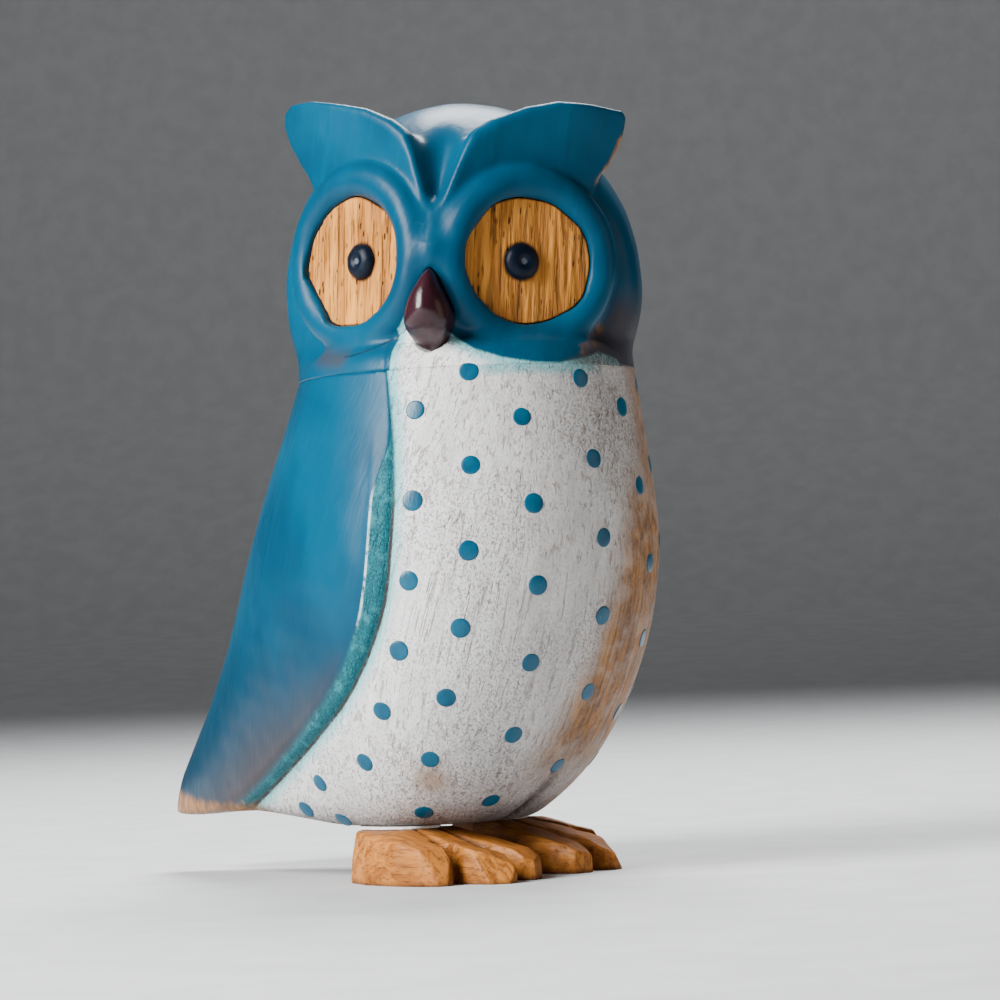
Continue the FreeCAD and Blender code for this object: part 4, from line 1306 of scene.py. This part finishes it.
# ------------------------------------------------------------------ feet
@dataclass
class Foot:
    """One carved foot with three toes, and the bead of glue that the body is bedded on."""

    figure: Figure
    side: Side
    step: float = 0.26
    height: float = 10.0
    outline: Outline = (
        (-5.0, 9.5), (3.5, 9.8), (8.8, 6.6), (12.2, 0.5), (13.9, -7.5), (13.9, -14.2), (12.8, -17.8),
        (11.4, -19.2), (9.2, -18.9), (7.9, -13.4), (6.0, -16.2), (6.9, -19.0), (6.5, -26.2), (5.2, -28.0),
        (1.8, -28.0), (-0.2, -24.0), (-0.9, -15.5), (-2.6, -18.6), (-3.4, -25.4), (-4.8, -27.4),
        (-8.6, -26.0), (-9.9, -21.0), (-9.4, -10.0), (-8.2, 0.0),
    )
    grooves: tuple[tuple[float, float, float, float, float, float], ...] = (
        (2.2, -1.0, 8.0, -15.5, 3.4, 1.35), (-2.8, -3.0, -1.5, -17.5, 1.0, 1.7),
    )

    def local(self, points: Array) -> tuple[Array, Array, Array]:
        """Places outward and back from the foot's dowel, and heights."""
        hub = self.figure.hubs[self.side]
        return self.side.value * (points[:, 0] - hub[0]), points[:, 1] - hub[1], points[:, 2]

    def groove(self, u: Array, v: Array, z: Array, line: tuple[float, ...]) -> Array:
        """Distance to the V between two toes, below zero in it."""
        start, end = np.array(line[:2]), np.array(line[2:4])
        along = end - start
        length = np.linalg.norm(along)
        along = along / length
        across = np.array([-along[1], along[0]])
        forward = (u - start[0]) * along[0] + (v - start[1]) * along[1]
        sideways = (u - start[0]) * across[0] + (v - start[1]) * across[1]
        floor = self.height + 0.2 - 0.56 * self.height * np.clip(forward / length, 0.0, 1.1) ** 1.2
        wall = np.maximum(line[4] * sideways, -line[5] * sideways)
        return (floor + wall - z) * 0.5

    def solid(self, points: Array) -> Array:
        """Signed distance of the foot."""
        u, v, z = self.local(points)
        plan = outline_distance(u, v, np.array(self.outline))
        top = self.height - 0.245 * np.maximum(0.0, -6.0 - v) - 0.30 * np.maximum(0.0, -23.0 - v)
        top = top - 0.65 * np.maximum(0.0, v - 6.0)
        away = smooth_max(plan, (z - top) * 0.96, 0.55)
        outer = (z - top + 0.1 + 0.55 * (u - 9.6 - 0.10 * np.maximum(0.0, -v))) * 0.85
        away = smooth_max(away, outer, 1.6)
        chisel = 0.62 * (u - 12.4) - 0.62 * (v + 16.4) + 0.45 * (z - 4.5)
        away = smooth_max(away, chisel, 0.25)
        away = smooth_max(away, (plan + 0.16 * (z - 3.0)) * 0.98, 0.5)
        for line in self.grooves:
            away = smooth_max(away, -self.groove(u, v, z, line), 0.3)
        away = away + 0.09 * unevenness(points, 6.5, 41) + 0.03 * unevenness(points, 2.4, 42)
        away = smooth_max(away, -z, 0.3)
        away = np.maximum(away, z - self.height)
        hub = self.figure.hubs[self.side]
        hole = upright_hole(points, hub[0], hub[1], FOOT_HOLE_RADIUS, self.height - 7.5, self.height + 3.0)
        return np.maximum(away, -hole)

    def build(self, shop: Workshop, wood: bpy.types.Material, glue: bpy.types.Material) -> None:
        """Carves and places the foot and its glue."""
        name = self.side.label
        box = node_box(f"foot_{name}") - self.figure.axis
        skin = Skin.over(self.solid, box[0] - 1.5, box[1] + 1.0, self.step)
        u, v, z = self.local(skin.points)
        # Painted shade between the toes, along their undersides and on the foot's top under the belly.
        deep = np.zeros(len(u))
        for line in self.grooves:
            start, end = np.array(line[:2]), np.array(line[2:4])
            along = (end - start) / np.linalg.norm(end - start)
            sideways = np.abs((u - start[0]) * -along[1] + (v - start[1]) * along[0])
            deep = np.maximum(deep, step_up(sideways, 1.5, 0.1) * step_up(v, start[1], start[1] - 6.0))
        below = 0.55 * step_up(z, 1.2, 0.0)
        under_belly = 0.7 * step_up(z, self.height - 2.5, self.height - 0.3) * step_up(v, -9.0, -2.0)
        grain = np.stack([u, z, v + 0.25 * u], 1) * MM
        grain[:, 0] += 0.2 * self.side.value
        grime = np.clip(np.maximum(0.8 * deep, np.maximum(below, under_belly * (u < 7.0))), 0.0, 1.0)
        shop.mesh_piece(f"carved_foot_{name}", skin, wood, (f"foot_{name}",),
                        {"grain": grain, "grime": grime})
        self.build_glue(shop, glue)

    def build_glue(self, shop: Workshop, glue: bpy.types.Material) -> None:
        """Makes the lumpy bead of glue between the foot and the body."""
        name = self.side.label
        box = node_box(f"glue_pad_{name}") - self.figure.axis
        middle, half = box.mean(0), (box[1] - box[0]) / 2.0

        def bead(points: Array) -> Array:
            """Signed distance of the bead."""
            flat = points - middle - np.array([0.0, 1.6, 0.0])
            swell = 1.0 + 0.06 * unevenness(points * (1.0, 1.0, 0.0), 6.0, 51)
            ring = np.hypot(flat[:, 0] / (half[0] + 0.7), flat[:, 1] / half[1]) / swell
            away = (ring - 1.0) * half[0] * 0.9
            away = smooth_max(away, np.abs(flat[:, 2]) - half[2], 0.25)
            hub = self.figure.hubs[self.side]
            return np.maximum(away, -upright_hole(points, hub[0], hub[1], FOOT_HOLE_RADIUS, 0.0, 30.0))

        skin = Skin.over(bead, box[0] - 2.2, box[1] + 0.8, 0.2)
        shop.mesh_piece(f"glue_bead_{name}", skin, glue, (f"glue_pad_{name}",))


# ------------------------------------------------------------------ painted dots
@dataclass(frozen=True)
class DotColumn:
    """One column of dots down the belly.

    The angle is counted from the chest towards the owl's left. Each dot is one pitch
    below the last, and the pitch shrinks by a fixed share from dot to dot.
    """

    angle: float
    top: float
    pitch: float
    shrink: float
    count: int
    drift: float = 0.0
    sag: float = 0.0

    def places(self) -> list[tuple[float, float]]:
        """Angle in degrees and height in millimetres of each dot."""
        spots, height = [], self.top
        for i in range(self.count):
            t = i / max(1, self.count - 1)
            spots.append((self.angle + self.drift * t + self.sag * t ** 3, height))
            height -= self.pitch * self.shrink ** i
        return spots


@dataclass
class Dots:
    """Teal dots dabbed on the belly in staggered columns."""

    figure: Figure
    radius: float = 1.85
    rise: float = 0.16
    throw: float = 60.0
    columns: tuple[DotColumn, ...] = (
        DotColumn(-69.0, 89.0, 17.0, 0.87, 6, -1.0, -31.0),
        DotColumn(-51.0, 95.8, 17.6, 0.90, 7, -3.0, -33.0),
        DotColumn(-34.8, 86.9, 16.2, 0.94, 6, 9.0, -20.0),
        DotColumn(-12.5, 94.1, 15.2, 0.98, 6, 10.0, 0.0),
        DotColumn(7.0, 88.9, 15.0, 0.98, 5, 25.0, 0.0),
        DotColumn(28.0, 94.0, 15.4, 0.97, 6, 18.0, 6.0),
        DotColumn(49.0, 87.0, 16.4, 0.94, 6, 8.0, 22.0),
        DotColumn(69.0, 91.0, 17.0, 0.88, 6, 2.0, 30.0),
        DotColumn(-130.0, 19.3, 5.4, 1.0, 2, -15.0, 0.0),
        DotColumn(-134.0, 11.9, 1.0, 1.0, 1),
        DotColumn(128.0, 19.6, 5.4, 1.0, 2, 15.0, 0.0),
    )

    def seeds(self) -> bpy.types.Object:
        """Loose points outside the belly, one for each dot."""
        points = []
        for column in self.columns:
            for angle, height in column.places():
                turn = math.radians(angle)
                points.append((self.throw * math.sin(turn), -self.throw * math.cos(turn), height))
        mesh = bpy.data.meshes.new("belly_dots")
        mesh.from_pydata(self.figure.placed(np.array(points)).tolist(), [], [])
        piece = bpy.data.objects.new("belly_dots", mesh)
        bpy.context.scene.collection.objects.link(piece)
        return piece

    def tree(self, paint: bpy.types.Material) -> bpy.types.GeometryNodeTree:
        """Nodes that press a flat dab onto the body at each point."""
        tree = bpy.data.node_groups.new("dab_dots", "GeometryNodeTree")
        face = tree.interface
        face.new_socket("Geometry", in_out="INPUT", socket_type="NodeSocketGeometry")
        for name, kind in (("Body", "Object"), ("Axis", "Vector"), ("Radius", "Float"), ("Rise", "Float"),
                           ("Unevenness", "Float"), ("Seed", "Int")):
            face.new_socket(name, in_out="INPUT", socket_type=f"NodeSocket{kind}")
        face.new_socket("Geometry", in_out="OUTPUT", socket_type="NodeSocketGeometry")
        nodes = Nodes(tree)
        given = nodes.node("NodeGroupInput").outputs
        # Each seed is thrown level at the neck axis and stays where it meets the body.
        body = nodes.node("GeometryNodeObjectInfo", {"Object": given["Body"]})
        here = nodes.node("GeometryNodeInputPosition").outputs[0]
        inward = nodes.node("ShaderNodeVectorMath", {0: given["Axis"], 1: here}, operation="SUBTRACT")
        level = nodes.node("ShaderNodeVectorMath", {
            0: inward.outputs[0], 1: (1.0, 1.0, 0.0)}, operation="MULTIPLY")
        cast = nodes.node("GeometryNodeRaycast", {
            "Target Geometry": body.outputs["Geometry"], "Ray Direction": level.outputs[0],
            "Ray Length": 0.1})
        keep = nodes.node("GeometryNodeCaptureAttribute")
        keep.capture_items.new("VECTOR", "Facing")
        nodes.feed(keep.inputs["Geometry"], given["Geometry"])
        nodes.feed(keep.inputs[1], cast.outputs["Hit Normal"])
        press = nodes.node("GeometryNodeSetPosition", {
            "Geometry": keep.outputs["Geometry"], "Position": cast.outputs["Hit Position"]})
        turn = nodes.node("FunctionNodeAlignRotationToVector", {"Vector": keep.outputs[1]}, axis="Z")
        # One dab is a round flattened to its rise, and each copy differs a little in size.
        dab = nodes.node("GeometryNodeMeshUVSphere", {"Segments": 28, "Rings": 8, "Radius": given["Radius"]})
        thin = nodes.node("ShaderNodeMath", {0: given["Rise"], 1: given["Radius"]}, operation="DIVIDE")
        shape = nodes.node("ShaderNodeCombineXYZ", {"X": 1.0, "Y": 1.0, "Z": thin.outputs[0]})
        flat = nodes.node("GeometryNodeTransform", {
            "Geometry": dab.outputs["Mesh"], "Scale": shape.outputs[0]})
        low = nodes.node("ShaderNodeMath", {0: 1.0, 1: given["Unevenness"]}, operation="SUBTRACT")
        high = nodes.node("ShaderNodeMath", {0: 1.0, 1: given["Unevenness"]}, operation="ADD")
        chance = nodes.node("FunctionNodeRandomValue", {
            2: low.outputs[0], 3: high.outputs[0], "Seed": given["Seed"]})
        dots = nodes.node("GeometryNodeInstanceOnPoints", {
            "Points": press.outputs["Geometry"], "Instance": flat.outputs["Geometry"],
            "Rotation": turn.outputs["Rotation"], "Scale": chance.outputs[1]})
        real = nodes.node("GeometryNodeRealizeInstances", {"Geometry": dots.outputs["Instances"]})
        coat = nodes.node("GeometryNodeSetMaterial", {
            "Geometry": real.outputs["Geometry"], "Material": paint})
        nodes.feed(nodes.node("NodeGroupOutput").inputs["Geometry"], coat.outputs["Geometry"])
        return tree

    def build(self, shop: Workshop, ground: bpy.types.Object, paint: bpy.types.Material) -> bpy.types.Object:
        """Dabs the dots on the finished body and makes them one plain mesh."""
        seeds = self.seeds()
        modifier = seeds.modifiers.new("dabs", "NODES")
        modifier.node_group = self.tree(paint)
        settings = {"Body": ground, "Axis": list(self.figure.axis * MM), "Radius": self.radius * MM,
                    "Rise": self.rise * MM, "Unevenness": 0.06, "Seed": 5}
        for item in modifier.node_group.interface.items_tree:
            if item.in_out == "INPUT" and item.name in settings:
                modifier[item.identifier] = settings[item.name]
        bpy.context.view_layer.update()
        depsgraph = bpy.context.evaluated_depsgraph_get()
        mesh = bpy.data.meshes.new_from_object(seeds.evaluated_get(depsgraph), depsgraph=depsgraph)
        seeds.modifiers.remove(modifier)
        seeds.data = mesh
        mesh.shade_smooth()
        return shop.finish_piece(seeds, paint)


# ------------------------------------------------------------------ studio
@dataclass(frozen=True)
class Studio:
    """Pale floor, soft lights and the camera."""

    figure: Figure
    azimuth: float = -52.0
    distance: float = 690.0
    camera_height: float = 49.0
    aim_side: float = 0.4727
    aim_up: float = 1.966
    roll: float = 2.2
    lens: float = 85.0
    sensor: float = 24.0

    def around(self, azimuth: float, elevation: float, distance: float) -> Vector:
        """A place in metres, seen from the middle of the figure."""
        a, e = math.radians(azimuth), math.radians(elevation)
        out = Vector((math.sin(a) * math.cos(e), -math.cos(a) * math.cos(e), math.sin(e)))
        middle = Vector(self.figure.placed(np.array([0.0, 10.0, 70.0])))
        return middle + out * distance

    def light(self, name: str, azimuth: float, elevation: float, distance: float,
              size: tuple[float, float], power: float, tint: Triple = (1.0, 1.0, 1.0)) -> None:
        """Adds a soft rectangular light that looks at the figure."""
        lamp = bpy.data.lights.new(name, "AREA")
        lamp.shape = "RECTANGLE"
        lamp.size, lamp.size_y = size
        lamp.energy = power
        lamp.color = tint
        holder = bpy.data.objects.new(name, lamp)
        bpy.context.scene.collection.objects.link(holder)
        holder.location = self.around(azimuth, elevation, distance)
        middle = self.around(0.0, 0.0, 0.0)
        holder.rotation_euler = (middle - holder.location).to_track_quat("-Z", "Y").to_euler()

    def floor(self) -> None:
        """Pale matt floor that curves up far behind."""
        mesh = bpy.data.meshes.new("studio_floor")
        rows = [(-2.5, 0.0), (1.6, 0.0), (2.0, 0.05), (2.3, 0.25), (2.45, 0.6), (2.5, 3.0)]
        turn = math.radians(self.azimuth)
        out = np.array([math.sin(turn), -math.cos(turn)])
        across = np.array([math.cos(turn), math.sin(turn)])
        points = []
        for far, high in rows:
            for side in (-7.0, 7.0):
                points.append((*(across * side - out * far), high))
        faces = [(2 * i, 2 * i + 1, 2 * i + 3, 2 * i + 2) for i in range(len(rows) - 1)]
        mesh.from_pydata(points, [], faces)
        mesh.shade_smooth()
        piece = bpy.data.objects.new("studio_floor", mesh)
        bpy.context.scene.collection.objects.link(piece)
        s = Shader("studio_paper")
        speck = s.noise(s.place((60.0, 60.0, 60.0)), 3.0, 0.5)
        colour = s.blend(s.ramp(speck, 0.3, 0.7), (0.56, 0.57, 0.58), (0.61, 0.62, 0.63))
        mesh.materials.append(s.done(colour, 0.8, Specular_IOR_Level=0.2))

    def camera(self) -> None:
        """Long-lens camera, a little below the figure's middle and looking slightly up."""
        a = math.radians(self.azimuth)
        ahead = np.array([-math.sin(a), math.cos(a), 0.0])
        aside = np.array([math.cos(a), math.sin(a), 0.0])
        where = -ahead * self.distance + np.array([0.0, 0.0, self.camera_height])
        yaw, pitch, roll = (math.radians(v) for v in (self.aim_side, self.aim_up, self.roll))
        look = ahead * math.cos(yaw) + aside * math.sin(yaw)
        right = np.cross(look, (0.0, 0.0, 1.0))
        look = look * math.cos(pitch) + np.array([0.0, 0.0, math.sin(pitch)])
        above = np.cross(right, look)
        tilted_right = right * math.cos(roll) - above * math.sin(roll)
        tilted_up = right * math.sin(roll) + above * math.cos(roll)
        lens = bpy.data.cameras.new("studio_camera")
        lens.lens, lens.sensor_width, lens.sensor_fit = self.lens, self.sensor, "HORIZONTAL"
        lens.clip_start, lens.clip_end = 0.01, 20.0
        holder = bpy.data.objects.new("studio_camera", lens)
        bpy.context.scene.collection.objects.link(holder)
        matrix = Matrix.Identity(4)
        for row in range(3):
            for column, axis in enumerate((tilted_right, tilted_up, -look)):
                matrix[row][column] = axis[row]
            matrix[row][3] = self.figure.placed(where)[row]
        holder.matrix_world = matrix
        bpy.context.scene.camera = holder

    def build(self) -> None:
        """Sets up the floor, the lights, the room and the camera."""
        self.floor()
        self.camera()
        self.light("key_softbox", self.azimuth - 54.0, 26.0, 0.80, (0.34, 0.56), 21.0)
        self.light("top_back_softbox", self.azimuth + 165.0, 58.0, 0.8, (0.5, 0.4), 14.0)
        self.light("warm_fill", self.azimuth + 76.0, 6.0, 0.95, (0.5, 0.6), 1.0, (1.0, 0.72, 0.45))
        world = bpy.data.worlds.new("studio_room")
        bpy.context.scene.world = world
        world.use_nodes = True
        back = world.node_tree.nodes["Background"]
        back.inputs["Color"].default_value = (0.82, 0.86, 0.92, 1.0)
        back.inputs["Strength"].default_value = 0.07


# ------------------------------------------------------------------ assembly
def dress_hidden_pins() -> None:
    """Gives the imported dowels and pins, which stay as they are, their wood."""
    woods = {
        "neck_dowel": TurnedWood("dowel_wood", (0.55, 0.38, 0.22)),
        "foot_dowel_left": TurnedWood("dowel_wood_left", (0.55, 0.38, 0.22)),
        "foot_dowel_right": TurnedWood("dowel_wood_right", (0.55, 0.38, 0.22)),
        "beak_pin": TurnedWood("bamboo", (0.62, 0.50, 0.28)),
    }
    for name, wood in woods.items():
        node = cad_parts[name]
        material = wood.make()
        if not node.data.materials:
            node.data.materials.append(material)
        for slot in node.material_slots:
            slot.material = material
        log.info("%s: packed piece, %s", name, material.name)


def main() -> None:
    """Builds the owl piece by piece, then the studio."""
    logging.basicConfig(level=logging.INFO, format="%(name)s %(message)s")
    figure = Figure.measured()
    shop = Workshop(figure)
    pose = HeadPose(figure)
    body = Body(figure)
    beak = Beak(pose)
    paint = CarvedPaint("carved_paint").make()
    carved = body.build(shop, paint)
    Head(pose, body, beak).build(shop, paint)
    # Each lacquer's second colour is its rubbed colour, partly a painted highlight.
    beak_lacquer = GlossLacquer(
        "beak_lacquer", (0.030, 0.007, 0.012), (0.060, 0.030, 0.022), roughness=0.2, shine=0.4)
    beak.build(shop, beak_lacquer.make())
    eye_wood = OiledWood(
        "open_grain_eye_wood", (0.70, 0.285, 0.045), (0.27, 0.092, 0.016), (0.045, 0.016, 0.005),
        spacing=2.1, coarse=6.0, roughness=0.5).make()
    pupil = GlossLacquer(
        "pupil_lacquer", (0.001, 0.005, 0.014), (0.075, 0.090, 0.115), roughness=0.36, shine=0.14).make()
    for side in Side:
        Eye(pose, side).build(shop, eye_wood, pupil)
    foot_wood = OiledWood(
        "oiled_foot_wood", (0.52, 0.195, 0.036), (0.25, 0.080, 0.014), (0.045, 0.015, 0.006),
        spacing=0.7, coarse=0.6, roughness=0.4).make()
    glue = DriedGlue().make()
    for side in Side:
        Foot(figure, side).build(shop, foot_wood, glue)
    Dots(figure).build(shop, carved, DotPaint().make())
    dress_hidden_pins()
    Studio(figure).build()


if __name__ == "__main__":
    main()
